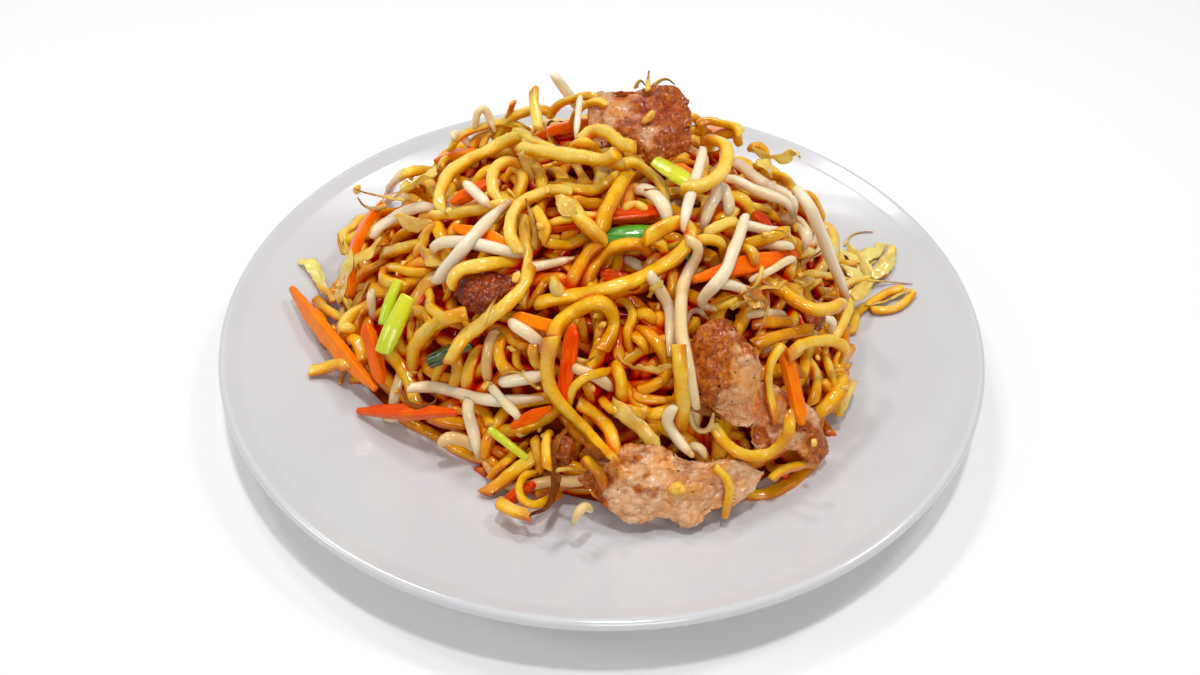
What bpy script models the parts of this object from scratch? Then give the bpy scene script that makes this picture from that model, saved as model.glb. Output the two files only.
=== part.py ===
"""A white coupe plate with a heap of stir-fried noodles, pork slices and vegetables on it.

The frame is the plate's: origin under the centre of its foot, +X to the right and -Y towards
the diner, +Z up. Every size below is in millimetres; MM turns it into Blender's metres.
"""

import math
import random

import bmesh
import bpy
from mathutils import Matrix, Vector, noise
from mathutils.bvhtree import BVHTree

MM = 0.001
GAP = 0.4  # kept between pieces that rest on each other
GOLDEN_ANGLE = math.pi * (3 - math.sqrt(5))

# The plate.
PLATE_RADIUS = 135.0
PLATE_RIM_HEIGHT = 20.0
PLATE_FLOOR = 5.0
PLATE_FLAT_RADIUS = 70.0
PLATE_RISE_POWER = 1.7
PLATE_STEPS = 60

# The heap: how far it reaches from the plate's centre, and how it rises to its peak.
HEAP_REACH = 95.0
HEAP_LOBES = ((1, 2.5, 134.0), (2, 4.5, -34.0), (3, 5.0, 165.0))  # waves round, mm, phase in degrees
HEAP_PEAK = Vector((10.0, 16.0))
HEAP_RISE = 69.0
HEAP_SHOULDER = 0.62
CORE_DEPTH = 4.6  # the solid core lies this far inside the outer noodles
CORE_EDGE = 3.0
CORE_SPOKES = 32
CORE_RINGS = 9
CORE_BUMP = 1.3

# The strands fused to the core.
NOODLE_RADIUS = 2.5
SPROUT_RADIUS = 2.1
STRAND_STEP = 2.0  # walked this far at a time
STRAND_RING = 3  # steps between the rings of a strand's skin
STRAND_CLEARANCE = 0.8
STRAND_SPACING = 8.0
STRAND_SHARPEST = math.radians(32)
STRAND_COUNT = 48
STRAND_TRIES = 14  # routes tried at each place; the one over most bare ground is kept
STRAND_OVERHANG = 7.0  # how far a strand may lie beyond the core's foot
STRAND_SEED = 3

COLOURS = {
    "porcelain": ((0.80, 0.79, 0.78), 0.12),
    "noodle": ((0.78, 0.52, 0.16), 0.40),
    "pork": ((0.62, 0.36, 0.24), 0.45),
    "carrot": ((0.88, 0.25, 0.03), 0.35),
    "spring_onion": ((0.36, 0.55, 0.05), 0.30),
}

# Pork slices: centre, the way the broad face looks (compass angle and tilt from straight up),
# thickness, how far the edges curl under, and the outline's corners as (right, up) in the slice.
PORK_SLICES = {
    "pork_front": {
        "at": (22, -90, 26), "looks": (-86, 50), "thick": 6.0, "curl": 0.004,
        "corners": ((29, 5.5), (18, 5), (7, 6), (-2, 10), (-12, 11), (-20, 8), (-28, 2),
                    (-27, -4), (-18, -11), (-9, -15), (-3, -12), (3, -17), (12, -12), (22, -9),
                    (27, -5), (30, 1)),
    },
    "pork_right": {
        "at": (66, -68, 28), "looks": (-45, 50), "thick": 5.0, "curl": 0.008,
        "corners": ((8, -3), (2, 10), (-7, 20), (-14, 13), (-20, 5), (-16, -4), (-8, -6),
                    (-4, -12), (5, -15)),
    },
    "pork_middle": {
        "at": (39, -66, 50), "looks": (-68, 48), "thick": 6.5, "curl": 0.010,
        "corners": ((11, 0), (8, 9), (4, 15), (-3, 15), (-10, 11), (-13, 4), (-13, -5),
                    (-8, -14), (0, -20), (7, -19), (10, -10)),
    },
    "pork_top": {
        "at": (15, 18, 80), "looks": (-88, 28), "thick": 7.0, "curl": 0.007,
        "corners": ((15, 1), (15, 14), (10, 18.5), (-3, 18), (-15, 18.5), (-20.5, 14), (-21, 2),
                    (-19, -4), (-12, -6), (-5, -7), (-2, -13), (4, -12), (9, -8), (13, -6)),
    },
    "pork_inner": {
        "at": (-41, -38, 56), "looks": (-125, 40), "thick": 4.5, "curl": 0.015,
        "corners": ((13, 2), (9, 9), (-3, 7), (-14, 0), (-9, -6), (0, -8), (9, -6)),
    },
    "pork_nugget_right": {
        "at": (74, -32, 42), "looks": (-20, 52), "thick": 4.5, "curl": 0.02,
        "corners": ((7, 0), (5, 4), (-3, 5), (-8, 1), (-5, -4), (3, -4)),
    },
    "pork_nugget_front": {
        "at": (-11, -80, 26), "looks": (-100, 50), "thick": 5.0, "curl": 0.02,
        "corners": ((4, 1), (2, 5), (-4, 5), (-6, 0), (-3, -5), (3, -4)),
    },
}

# Carrot strips: middle, compass heading and rise of the far end in degrees, length, width and
# thickness, bend in degrees from the middle to an end, and the share of each end that tapers.
CARROT_STRIPS = {
    "carrot_left_arc": {"at": (-90, 4, 41), "heading": -104, "rise": -26, "size": (38, 4.8, 3.0),
                        "bend": 24},
    "carrot_left_long": {"at": (-93, -21, 17), "heading": -51, "rise": -2, "size": (63, 6.2, 3.4),
                         "bend": 5, "taper": 0.30},
    "carrot_left_point": {"at": (-63, -58, 20), "heading": -24, "rise": 24, "size": (44, 5.4, 3.2),
                          "taper": 0.35},
    "carrot_left_low": {"at": (-75, -38, 25), "heading": -68, "rise": -42, "size": (21, 5.0, 3.2)},
    "carrot_left_shoulder": {"at": (-47, 5, 66), "heading": 22, "rise": 20,
                             "size": (17, 6.0, 3.4), "taper": 0.4},
    "carrot_mid_left": {"at": (-40, -19, 63), "heading": -33, "rise": 6, "size": (27, 6.0, 3.4),
                        "taper": 0.4},
    "carrot_mid_small": {"at": (-22, -50, 53), "heading": -24, "rise": 2, "size": (16, 4.2, 3.0)},
    "carrot_mid_upright": {"at": (-11, -63, 47), "heading": -98, "rise": -42,
                           "size": (25, 4.8, 3.2)},
    "carrot_mid_low": {"at": (-23, -74, 33), "heading": 8, "rise": 30, "size": (15, 4.4, 3.0),
                       "taper": 0.45},
    "carrot_centre": {"at": (-1, -18, 71), "heading": 6, "rise": 6, "size": (42, 5.0, 3.2),
                      "bend": 5},
    "carrot_centre_red": {"at": (5, -41, 64), "heading": -20, "rise": -4, "size": (13, 4.6, 3.0)},
    "carrot_right_big": {"at": (49, -28, 61), "heading": 37, "rise": -14, "size": (47, 6.6, 3.4),
                         "bend": 7, "taper": 0.45},
    "carrot_right_red": {"at": (57, -8, 60), "heading": -48, "rise": -26, "size": (15, 5.0, 3.0)},
    "carrot_top_right": {"at": (30, 5, 76), "heading": -40, "rise": -10, "size": (13, 5.0, 3.0)},
    "carrot_right_upright": {"at": (59, -62, 38), "heading": -71, "rise": -44,
                             "size": (25, 4.6, 3.2)},
    "carrot_front_low": {"at": (-25, -85, 14), "heading": 15, "rise": 34, "size": (13, 4.4, 3.0),
                         "taper": 0.4},
    "carrot_back_top": {"at": (-18, 41, 76), "heading": 4, "rise": 18, "size": (23, 6.0, 3.4),
                        "bend": 8, "taper": 0.3},
    "carrot_back_left": {"at": (-55, 38, 58), "heading": 150, "rise": -24, "size": (28, 5.0, 3.2),
                         "bend": 14, "taper": 0.3},
    "carrot_back_right": {"at": (44, 60, 52), "heading": 62, "rise": -26, "size": (34, 5.4, 3.2),
                          "bend": 12},
    "carrot_back_low": {"at": (6, 76, 46), "heading": 172, "rise": -6, "size": (36, 5.6, 3.2),
                        "bend": 18, "taper": 0.35},
}

# Spring onion: curved pieces of leaf and stalk. Arc is how far the sheet wraps round, in degrees.
ONION_PIECES = {
    "onion_left_stalk": {"at": (-74, -28, 41), "heading": -108, "rise": -32, "length": 16,
                         "radius": 2.4, "arc": 200},
    "onion_left_leaf": {"at": (-70, -37, 38), "heading": -118, "rise": -36, "length": 20,
                        "radius": 4.0, "arc": 170},
    "onion_centre_leaf": {"at": (9, -24, 70), "heading": 4, "rise": 3, "length": 18,
                          "radius": 4.2, "arc": 130},
    "onion_dark_left": {"at": (-50, -51, 39), "heading": 12, "rise": 24, "length": 15,
                        "radius": 2.6, "arc": 170},
    "onion_front_sliver": {"at": (-30, -76, 24), "heading": -35, "rise": -14, "length": 16,
                           "radius": 1.5, "arc": 190},
    "onion_top_leek": {"at": (24, 0, 75), "heading": -42, "rise": -8, "length": 18,
                       "radius": 4.6, "arc": 120},
    "onion_dark_right": {"at": (31, -25, 66), "heading": 46, "rise": 8, "length": 14,
                         "radius": 2.6, "arc": 150},
    "onion_back_leaf": {"at": (24, 58, 62), "heading": 118, "rise": -24, "length": 18,
                        "radius": 3.8, "arc": 150},
}
ONION_WALL = 1.1

# Strands whose ends break the heap's outline: kind, and the route's points in millimetres.
STRAY_STRANDS = (
    ("sprout", ((-12, 15, 64), (-15, 18, 77), (-21, 22, 88))),
    ("sprout", ((-44, 30, 56), (-46, 34, 68), (-40, 36, 74))),
    ("noodle", ((-72, -22, 38), (-88, -27, 24), (-101, -29, 12.5))),
    ("noodle", ((-10, -66, 38), (-24, -78, 24), (-35, -85, 10.5))),
    ("noodle", ((-46, -48, 34), (-54, -58, 20), (-57, -63, 10.0))),
    ("sprout", ((70, -2, 46), (88, 8, 36), (104, 20, 34))),
    ("noodle", ((80, -4, 30), (98, 8, 19), (114, 15, 18.5))),
    ("noodle", ((26, 20, 74), (40, 40, 66), (52, 62, 44))),
    ("noodle", ((-70, 18, 44), (-88, 30, 34), (-97, 40, 19))),
    ("noodle", ((78, -40, 26), (84, -48, 21), (80, -58, 15))),
)


# ---------------------------------------------------------------- forms

def plate_top(radius):
    """Height of the plate's upper face at this distance from its axis."""
    share = max(0.0, radius - PLATE_FLAT_RADIUS) / (PLATE_RADIUS - PLATE_FLAT_RADIUS)
    return PLATE_FLOOR + (PLATE_RIM_HEIGHT - PLATE_FLOOR) * share**PLATE_RISE_POWER


def heap_reach(angle):
    """Distance from the plate's axis to the heap's foot in this direction."""
    return HEAP_REACH + sum(
        size * math.cos(waves * angle - math.radians(phase)) for waves, size, phase in HEAP_LOBES
    )


def heap_share(x, y):
    """0 at the heap's peak and 1 at its foot."""
    share = math.hypot(x, y) / heap_reach(math.atan2(y, x))
    for _ in range(6):
        dx = x - HEAP_PEAK.x * (1 - share)
        dy = y - HEAP_PEAK.y * (1 - share)
        share = min(1.0, math.hypot(dx, dy) / heap_reach(math.atan2(dy, dx)))
    return share


def core_height(x, y):
    """Height of the core's upper face."""
    rise = (HEAP_RISE - CORE_DEPTH) * (1 - min(1.0, heap_share(x, y) / 0.96) ** 2) ** HEAP_SHOULDER
    return plate_top(math.hypot(x, y)) + GAP + max(CORE_EDGE, rise)


def core_normal(x, y, reach=2.0):
    """The core's outward direction, as felt over a few millimetres."""
    slope_x = (core_height(x + reach, y) - core_height(x - reach, y)) / (2 * reach)
    slope_y = (core_height(x, y + reach) - core_height(x, y - reach)) / (2 * reach)
    return Vector((-slope_x, -slope_y, 1)).normalized()


# ---------------------------------------------------------------- making objects

def material(name):
    found = bpy.data.materials.get(name)
    if found:
        return found
    colour, roughness = COLOURS[name]
    made = bpy.data.materials.new(name)
    made.use_nodes = True
    shader = made.node_tree.nodes["Principled BSDF"]
    shader.inputs["Base Color"].default_value = (*colour, 1)
    shader.inputs["Roughness"].default_value = roughness
    made.diffuse_color = (*colour, 1)
    return made


def add_object(name, points, faces, finish):
    """A mesh object from millimetre points, with its faces turned outwards."""
    mesh = bpy.data.meshes.new(name)
    mesh.from_pydata([Vector(p) * MM for p in points], [], faces)
    shell = bmesh.new()
    shell.from_mesh(mesh)
    bmesh.ops.recalc_face_normals(shell, faces=shell.faces)
    shell.to_mesh(mesh)
    shell.free()
    mesh.materials.append(material(finish))
    mesh.shade_smooth()
    mesh.set_sharp_from_angle(angle=math.radians(40))
    made = bpy.data.objects.new(name, mesh)
    bpy.context.scene.collection.objects.link(made)
    return made


def tube_faces(rings, around):
    """Quads between rings of points."""
    return [
        (r * around + k, r * around + (k + 1) % around,
         (r + 1) * around + (k + 1) % around, (r + 1) * around + k)
        for r in range(rings - 1)
        for k in range(around)
    ]


def rod_faces(rings, around):
    """A tube with a flat cap on each end."""
    first_cap = tuple(reversed(range(around)))
    last_cap = tuple((rings - 1) * around + k for k in range(around))
    return [*tube_faces(rings, around), first_cap, last_cap]


def smooth_route(corners, step):
    """Points a step apart along a curve through the corners."""
    ends = [2 * corners[0] - corners[1], *corners, 2 * corners[-1] - corners[-2]]
    dense = []
    for before, start, stop, after in zip(ends, ends[1:], ends[2:], ends[3:]):
        for k in range(12):
            t = k / 12
            dense.append(0.5 * (
                2 * start + (stop - before) * t
                + (2 * before - 5 * start + 4 * stop - after) * t**2
                + (3 * start - before - 3 * stop + after) * t**3
            ))
    dense.append(corners[-1])
    route, walked = [dense[0]], 0.0
    for last, point in zip(dense, dense[1:]):
        walked += (point - last).length
        if walked >= step:
            route.append(point)
            walked = 0.0
    if len(route) < 3 or walked > step / 2:
        route.append(dense[-1])
    return route


def sweep(route, section_at, up=Vector((0, 0, 1))):
    """Rings of a section carried along a route. section_at(share) gives (side, height) pairs."""
    points = []
    for index, centre in enumerate(route):
        ahead = route[min(index + 1, len(route) - 1)] - route[max(index - 1, 0)]
        ahead.normalize()
        side = ahead.cross(up)
        side = side.normalized() if side.length > 0.2 else ahead.orthogonal().normalized()
        top = side.cross(ahead)
        up = top
        for across, high in section_at(index / (len(route) - 1)):
            points.append(centre + side * across + top * high)
    return points


# ---------------------------------------------------------------- the plate

def plate_profile():
    """Half a section, from the axis under the foot, out round the rim and back over the top."""
    under = [(0, 1.8), (71.5, 1.8), (72.5, 0), (76.5, 0), (78.5, 1.4)]
    under += [(r, plate_top(r) - 5.0 + (r - 92) * 0.025) for r in (92, 108, 122)]
    rim_middle, rim_half = 133.2, 1.8
    rim_height = PLATE_RIM_HEIGHT - rim_half
    rim = [
        (rim_middle + rim_half * math.cos(a), rim_height + rim_half * math.sin(a))
        for a in (math.radians(d) for d in (-60, -15, 30, 80, 125))
    ]
    upper = [(r, plate_top(r)) for r in (124, 113, 102, 91, 80, PLATE_FLAT_RADIUS, 0)]
    return under + rim + upper


def make_plate():
    profile = bmesh.new()
    points = [profile.verts.new((r * MM, 0, z * MM)) for r, z in plate_profile()]
    edges = [profile.edges.new(pair) for pair in zip(points, points[1:])]
    bmesh.ops.spin(
        profile, geom=points + edges, cent=(0, 0, 0), axis=(0, 0, 1),
        angle=2 * math.pi, steps=PLATE_STEPS, use_merge=True,
    )
    bmesh.ops.remove_doubles(profile, verts=profile.verts, dist=0.00001)
    bmesh.ops.recalc_face_normals(profile, faces=profile.faces)
    mesh = bpy.data.meshes.new("plate")
    profile.to_mesh(mesh)
    profile.free()
    mesh.materials.append(material("porcelain"))
    mesh.shade_smooth()
    mesh.set_sharp_from_angle(angle=math.radians(50))
    plate = bpy.data.objects.new("plate", mesh)
    bpy.context.scene.collection.objects.link(plate)
    return plate


# ---------------------------------------------------------------- the heap's core

def make_core():
    """A lumpy dome that stands on the plate's upper face."""
    shares = [(ring + 1) / CORE_RINGS for ring in range(CORE_RINGS)]
    top, bottom = [], []
    for share in shares:
        for spoke in range(CORE_SPOKES):
            angle = 2 * math.pi * spoke / CORE_SPOKES
            far = heap_reach(angle) * 0.96 * share
            x = HEAP_PEAK.x * (1 - share) + far * math.cos(angle)
            y = HEAP_PEAK.y * (1 - share) + far * math.sin(angle)
            lump = CORE_BUMP * noise.noise(Vector((x, y, 0)) / 9) if share < 1 else 0
            floor = plate_top(math.hypot(x, y)) + GAP
            top.append((x, y, core_height(x, y) + lump - (0.6 if share < 1 else 0)))
            bottom.append((x, y, floor))
    peak = (HEAP_PEAK.x, HEAP_PEAK.y, core_height(*HEAP_PEAK) - 0.6)
    foot = (HEAP_PEAK.x, HEAP_PEAK.y, PLATE_FLOOR + GAP)
    points = [*top, *bottom[-2 * CORE_SPOKES:], peak, foot]
    rim = (CORE_RINGS - 1) * CORE_SPOKES
    under_inner = CORE_RINGS * CORE_SPOKES
    under_rim = under_inner + CORE_SPOKES
    peak_index, foot_index = len(points) - 2, len(points) - 1
    faces = []
    for k in range(CORE_SPOKES):
        n = (k + 1) % CORE_SPOKES
        faces.append((peak_index, k, n))
        for ring in range(CORE_RINGS - 1):
            a, b = ring * CORE_SPOKES, (ring + 1) * CORE_SPOKES
            faces.append((a + k, b + k, b + n, a + n))
        faces.append((rim + k, under_rim + k, under_rim + n, rim + n))
        faces.append((under_rim + k, under_inner + k, under_inner + n, under_rim + n))
        faces.append((foot_index, under_inner + n, under_inner + k))
    return add_object("noodle_heap", points, faces, "noodle")


# ---------------------------------------------------------------- laying pieces down

def tree_of(objects):
    """A search tree of the objects' faces, and points all along their edges, in millimetres."""
    points, faces, spots = [], [], []
    for item in objects:
        own = [v.co / MM for v in item.data.vertices]
        spots += spread_over(own, [tuple(e.vertices) for e in item.data.edges])
        faces += [tuple(len(points) + i for i in p.vertices) for p in item.data.polygons]
        points += own
    return BVHTree.FromPolygons(points, faces), spots


def spread_over(points, edges, apart=1.5):
    """The points, and more along the edges between them."""
    more = list(points)
    for a, b in edges:
        start, stop = points[a], points[b]
        count = int((stop - start).length / apart)
        more += [start.lerp(stop, (k + 1) / (count + 1)) for k in range(count)]
    return more


def lay_down(piece, below, downwards):
    """Moves a piece against the way it lies until it is clear, then down onto what is below."""
    away = -downwards.normalized()
    lift = 60.0
    tree, below_points = tree_of(below)
    piece.data.transform(Matrix.Translation(away * lift * MM))
    own_tree, own_points = tree_of([piece])
    drops = [tree.ray_cast(p, -away)[3] for p in own_points]
    drops += [own_tree.ray_cast(p, away)[3] for p in below_points]
    moved = min(d for d in drops if d is not None) - GAP
    piece.data.transform(Matrix.Translation(-away * moved * MM))
    for _ in range(8):
        own_tree, own_points = tree_of([piece])
        nearest = min(tree.find_nearest(p)[3] for p in own_points)
        nearest = min(nearest, min(own_tree.find_nearest(p, 5.0)[3] or 5.0 for p in below_points))
        if nearest > GAP * 0.7:
            break
        piece.data.transform(Matrix.Translation(away * GAP * 0.5 * MM))
    return piece


def facing(compass, tilt):
    """The direction of a face that is tilted from straight up towards a compass angle."""
    a, t = math.radians(compass), math.radians(tilt)
    return Vector((math.sin(t) * math.cos(a), math.sin(t) * math.sin(a), math.cos(t)))


# ---------------------------------------------------------------- pork

def closed_outline(corners, count):
    """A rounded closed curve through the corners, as count points evenly spaced by angle."""
    total = len(corners)
    dense = []
    for k in range(total):
        p = [Vector(corners[(k + j - 1) % total]) for j in range(4)]
        for step in range(8):
            t = step / 8
            dense.append(0.5 * (
                2 * p[1] + (p[2] - p[0]) * t + (2 * p[0] - 5 * p[1] + 4 * p[2] - p[3]) * t**2
                + (3 * p[1] - p[0] - 3 * p[2] + p[3]) * t**3
            ))
    angles = sorted((math.atan2(p.y, p.x) % (2 * math.pi), p.length) for p in dense)
    outline = []
    for k in range(count):
        aim = 2 * math.pi * k / count
        after = next((i for i, (a, _) in enumerate(angles) if a > aim), 0)
        (a0, r0), (a1, r1) = angles[after - 1], angles[after]
        span = (a1 - a0) % (2 * math.pi)
        share = ((aim - a0) % (2 * math.pi)) / span if span else 0
        outline.append((aim, r0 + (r1 - r0) * share))
    return outline


def make_pork(name, at, looks, thick, curl, corners):
    """A crumpled slice: a domed top and a flatter underside round one uneven outline."""
    wide = max(math.hypot(*c) for c in corners)
    spokes = 26 if wide > 18 else 18 if wide > 12 else 12
    shares = (0.32, 0.62, 0.86, 1.0) if wide > 12 else (0.5, 0.86, 1.0)
    out = facing(*looks)
    right = Vector((0, 0, 1)).cross(out).normalized()
    up = out.cross(right)
    centre = Vector(at)
    outline = closed_outline(corners, spokes)

    def place(u, v, w):
        crumple = 2.2 * noise.noise(Vector((u, v, wide)) / 9)
        sag = -curl * (u * u + 0.6 * v * v)
        return centre + right * u + up * v + out * (w + sag + crumple)

    top, bottom = [], []
    for share in shares:
        edge = 1 - 0.75 * share**4
        for angle, radius in outline:
            u = radius * share * math.cos(angle)
            v = radius * share * math.sin(angle)
            top.append(place(u, v, thick / 2 * edge))
            bottom.append(place(u, v, -thick / 2 * edge))
    points = [*top, *bottom, place(0, 0, thick / 2), place(0, 0, -thick / 2)]
    under = len(top)
    faces = []
    for k in range(spokes):
        n = (k + 1) % spokes
        faces.append((len(points) - 2, k, n))
        faces.append((len(points) - 1, under + n, under + k))
        for ring in range(len(shares) - 1):
            a, b = ring * spokes, (ring + 1) * spokes
            faces.append((a + k, b + k, b + n, a + n))
            faces.append((under + a + n, under + b + n, under + b + k, under + a + k))
        rim = (len(shares) - 1) * spokes
        faces.append((rim + k, under + rim + k, under + rim + n, rim + n))
    return add_object(name, points, faces, "pork"), -out


# ---------------------------------------------------------------- carrot and spring onion

def bent_route(at, heading, rise, length, bend, steps):
    """An arc over the heap: its middle follows the heading and rise, its ends curve inwards."""
    out = core_normal(*at[:2])
    ahead = Vector((math.cos(math.radians(heading)), math.sin(math.radians(heading)),
                    math.tan(math.radians(rise)))).normalized()
    inwards = (ahead * out.dot(ahead) - out).normalized()
    middle = Vector(at)
    route = []
    for k in range(steps):
        along = (k / (steps - 1) - 0.5) * length
        turn = math.radians(bend) * along / length
        route.append(middle + ahead * along * math.cos(turn) + inwards * along * math.sin(turn))
    return route, out


def make_carrot(name, at, heading, rise, size, bend=0, taper=0.12):
    """A julienne strip with a squared section that narrows at its ends."""
    length, width, thick = size
    route, out = bent_route(at, heading, rise, length, bend, 8)

    def section(share):
        end = min(share, 1 - share) / max(taper, 0.01)
        w = width / 2 * (0.35 + 0.65 * min(1.0, end))
        t = thick / 2 * (0.6 + 0.4 * min(1.0, end))
        return ((w, t), (-w, t), (-w * 0.92, -t), (w * 0.92, -t))

    points = sweep(route, section, out)
    return add_object(name, points, rod_faces(len(route), 4), "carrot"), -out


def make_onion(name, at, heading, rise, length, radius, arc):
    """A length of curved leaf: a thin sheet wrapped part of the way round its own axis."""
    route, out = bent_route(at, heading, rise, length, 12, 6)
    spread = 7
    half = math.radians(arc) / 2

    def section(share):
        slant = 1 - 0.25 * abs(2 * share - 1) ** 3
        angles = [math.pi / 2 - half * slant + 2 * half * slant * k / (spread - 1)
                  for k in range(spread)]
        outer = [(radius * math.cos(a), radius * math.sin(a)) for a in angles]
        inner = [((radius - ONION_WALL) * math.cos(a), (radius - ONION_WALL) * math.sin(a))
                 for a in reversed(angles)]
        return outer + inner

    points = sweep(route, section, out)
    return add_object(name, points, leaf_faces(len(route), spread), "spring_onion"), -out


def leaf_faces(rings, spread):
    """Faces of a swept sheet, whose ends close as strips between its outer and inner side."""
    around = 2 * spread
    faces = tube_faces(rings, around)
    for end, flip in ((0, True), ((rings - 1) * around, False)):
        for k in range(spread - 1):
            quad = (end + k, end + k + 1, end + around - 2 - k, end + around - 1 - k)
            faces.append(tuple(reversed(quad)) if flip else quad)
    return faces


# ---------------------------------------------------------------- noodles and bean sprouts

def wandering_route(x, y, length, draw, radius):
    """A strand that lies on the core, bends as it goes and arches up between its ends."""
    sway = [draw.uniform(-1, 1) for _ in range(4)]
    heading = draw.uniform(0, 2 * math.pi)
    route = []
    ahead = Vector((math.cos(heading), math.sin(heading), 0))
    point = Vector((x, y, 0)) - ahead * length / 2
    point.z = core_height(point.x, point.y)
    steps = round(length / STRAND_STEP)
    arch = draw.uniform(1.5, 4.0)
    phase = draw.uniform(0, math.pi)
    for k in range(steps):
        out = core_normal(point.x, point.y)
        s = k / (steps - 1)
        wave = math.sin(phase + s * math.pi * length / 32) ** 2
        lift = radius * 0.5 + arch * wave * math.sin(math.pi * min(1, 4 * s, 4 - 4 * s) / 2)
        floor = plate_top(math.hypot(point.x, point.y)) + radius + GAP + 0.3
        raised = point + out * lift
        raised.z = max(raised.z, floor)
        route.append(raised)
        turn = (sway[0] * 0.07 + sway[1] * 0.12 * math.sin(5 * s + 3 * sway[2])
                + sway[3] * 0.09 * math.sin(9 * s))
        ahead = ahead - out * ahead.dot(out)
        ahead.rotate(Matrix.Rotation(turn, 3, out))
        point = point + ahead.normalized() * STRAND_STEP
        point -= out * (point.z - core_height(point.x, point.y)) * out.z
    return route


def free_stretch(route, radius, toppings):
    """The longest run of a route that has no kink and clears the toppings, plate and itself."""
    best, run = [], []
    for point in route:
        if len(run) > 6 and (point - run[-3]).angle(run[-3] - run[-6]) > STRAND_SHARPEST:
            run = []
        beyond = math.hypot(point.x, point.y) - heap_reach(math.atan2(point.y, point.x))
        crowded = toppings.find_nearest(point)[3] < radius + STRAND_CLEARANCE
        looped = any((point - other).length < 3 * radius for other in run[:-6])
        if crowded or looped or beyond > STRAND_OVERHANG:
            run = []
        else:
            run.append(point)
        best = max(best, list(run), key=len)
    return best


def new_ground(route, covered):
    """How much of a route lies where no strand lies yet."""
    return sum(all((p - q).length > STRAND_SPACING for q in covered) for p in route)


def make_strand(name, route, kind):
    """A tube along the route: noodles are squarish all along, sprouts round and tapered."""
    draw = random.Random(name)
    around = 6 if kind == "noodle" else 5
    if kind == "noodle":
        wide = NOODLE_RADIUS * draw.uniform(0.9, 1.1)
        flat = wide * draw.uniform(0.8, 0.95)
    else:
        wide = flat = SPROUT_RADIUS * draw.uniform(0.9, 1.1)

    def section(share):
        thin = 1.0 if kind == "noodle" else 1 - 0.55 * share**3
        return [
            (wide * thin * math.cos(2 * math.pi * k / around),
             flat * thin * math.sin(2 * math.pi * k / around))
            for k in range(around)
        ]

    rings = route[:-2:STRAND_RING] + route[-1:]
    return add_object(name, sweep(rings, section), rod_faces(len(rings), around), "noodle")


def make_strands(toppings):
    """The strands that show, spread evenly over the heap, with a few that break its outline."""
    tree, _ = tree_of(toppings)
    draw = random.Random(STRAND_SEED)
    made, covered = [], []
    for index, (kind, corners) in enumerate(STRAY_STRANDS):
        radius = NOODLE_RADIUS if kind == "noodle" else SPROUT_RADIUS
        route = smooth_route([Vector(c) for c in corners], STRAND_STEP)
        route = free_stretch(route, radius * 1.1, tree)
        if len(route) > 8:
            made.append(make_strand(f"stray_{index}", route, kind))
            covered += route[::3]
    for index in range(STRAND_COUNT):
        kind = "sprout" if index % 4 == 3 else "noodle"
        radius = NOODLE_RADIUS if kind == "noodle" else SPROUT_RADIUS
        share = 0.97 * math.sqrt((index + 0.5) / STRAND_COUNT)
        angle = index * GOLDEN_ANGLE
        x = HEAP_PEAK.x * (1 - share) + heap_reach(angle) * share * math.cos(angle)
        y = HEAP_PEAK.y * (1 - share) + heap_reach(angle) * share * math.sin(angle)
        length = draw.uniform(50, 85) if kind == "noodle" else draw.uniform(36, 55)
        tries = [wandering_route(x, y, length, draw, radius) for _ in range(STRAND_TRIES)]
        tries = [free_stretch(each, radius * 1.1, tree) for each in tries]
        route = max(tries, key=lambda each: new_ground(each[::3], covered))
        if len(route) > 10:
            made.append(make_strand(f"strand_{index}", route, kind))
            covered += route[::3]
    return made


def fuse(core, strands):
    """Joins the strands to the core as one solid, then drops the strands."""
    group = bpy.data.collections.new("strands")
    bpy.context.scene.collection.children.link(group)
    for strand in strands:
        bpy.context.scene.collection.objects.unlink(strand)
        group.objects.link(strand)
    union = core.modifiers.new("strands", "BOOLEAN")
    union.operation = "UNION"
    union.operand_type = "COLLECTION"
    union.collection = group
    union.solver = "MANIFOLD"
    bpy.context.view_layer.update()
    graph = bpy.context.evaluated_depsgraph_get()
    fused = bpy.data.meshes.new_from_object(core.evaluated_get(graph))
    core.modifiers.clear()
    core.data = fused
    for strand in strands:
        bpy.data.objects.remove(strand)
    bpy.data.collections.remove(group)
    keep_outer_shell(fused)


def keep_outer_shell(mesh):
    """Fills the hollows that joining seals, and drops loose scraps."""
    solid = bmesh.new()
    solid.from_mesh(mesh)
    bmesh.ops.triangulate(solid, faces=solid.faces)
    solid.faces.ensure_lookup_table()
    unseen = set(solid.faces)
    shells = []
    while unseen:
        shell, edge_of_search = set(), [unseen.pop()]
        while edge_of_search:
            face = edge_of_search.pop()
            shell.add(face)
            for edge in face.edges:
                for other in edge.link_faces:
                    if other in unseen:
                        unseen.discard(other)
                        edge_of_search.append(other)
        shells.append(shell)
    largest = max(shells, key=len)
    scraps = [face for shell in shells if shell is not largest for face in shell]
    bmesh.ops.delete(solid, geom=scraps, context="FACES")
    solid.to_mesh(mesh)
    solid.free()
    mesh.shade_smooth()
    mesh.set_sharp_from_angle(angle=math.radians(70))


# ---------------------------------------------------------------- the whole dish

def main():
    for item in list(bpy.data.objects):
        bpy.data.objects.remove(item)
    plate = make_plate()
    core = make_core()
    bpy.context.view_layer.update()
    laid = [plate, core]
    kinds = ((make_pork, PORK_SLICES), (make_carrot, CARROT_STRIPS), (make_onion, ONION_PIECES))
    for make, pieces in kinds:
        for name, facts in pieces.items():
            piece, down = make(name, **facts)
            laid.append(lay_down(piece, laid, down))
    strands = make_strands([item for item in laid if item is not core])
    bpy.context.view_layer.update()
    fuse(core, strands)


main()
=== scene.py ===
import math

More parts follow.
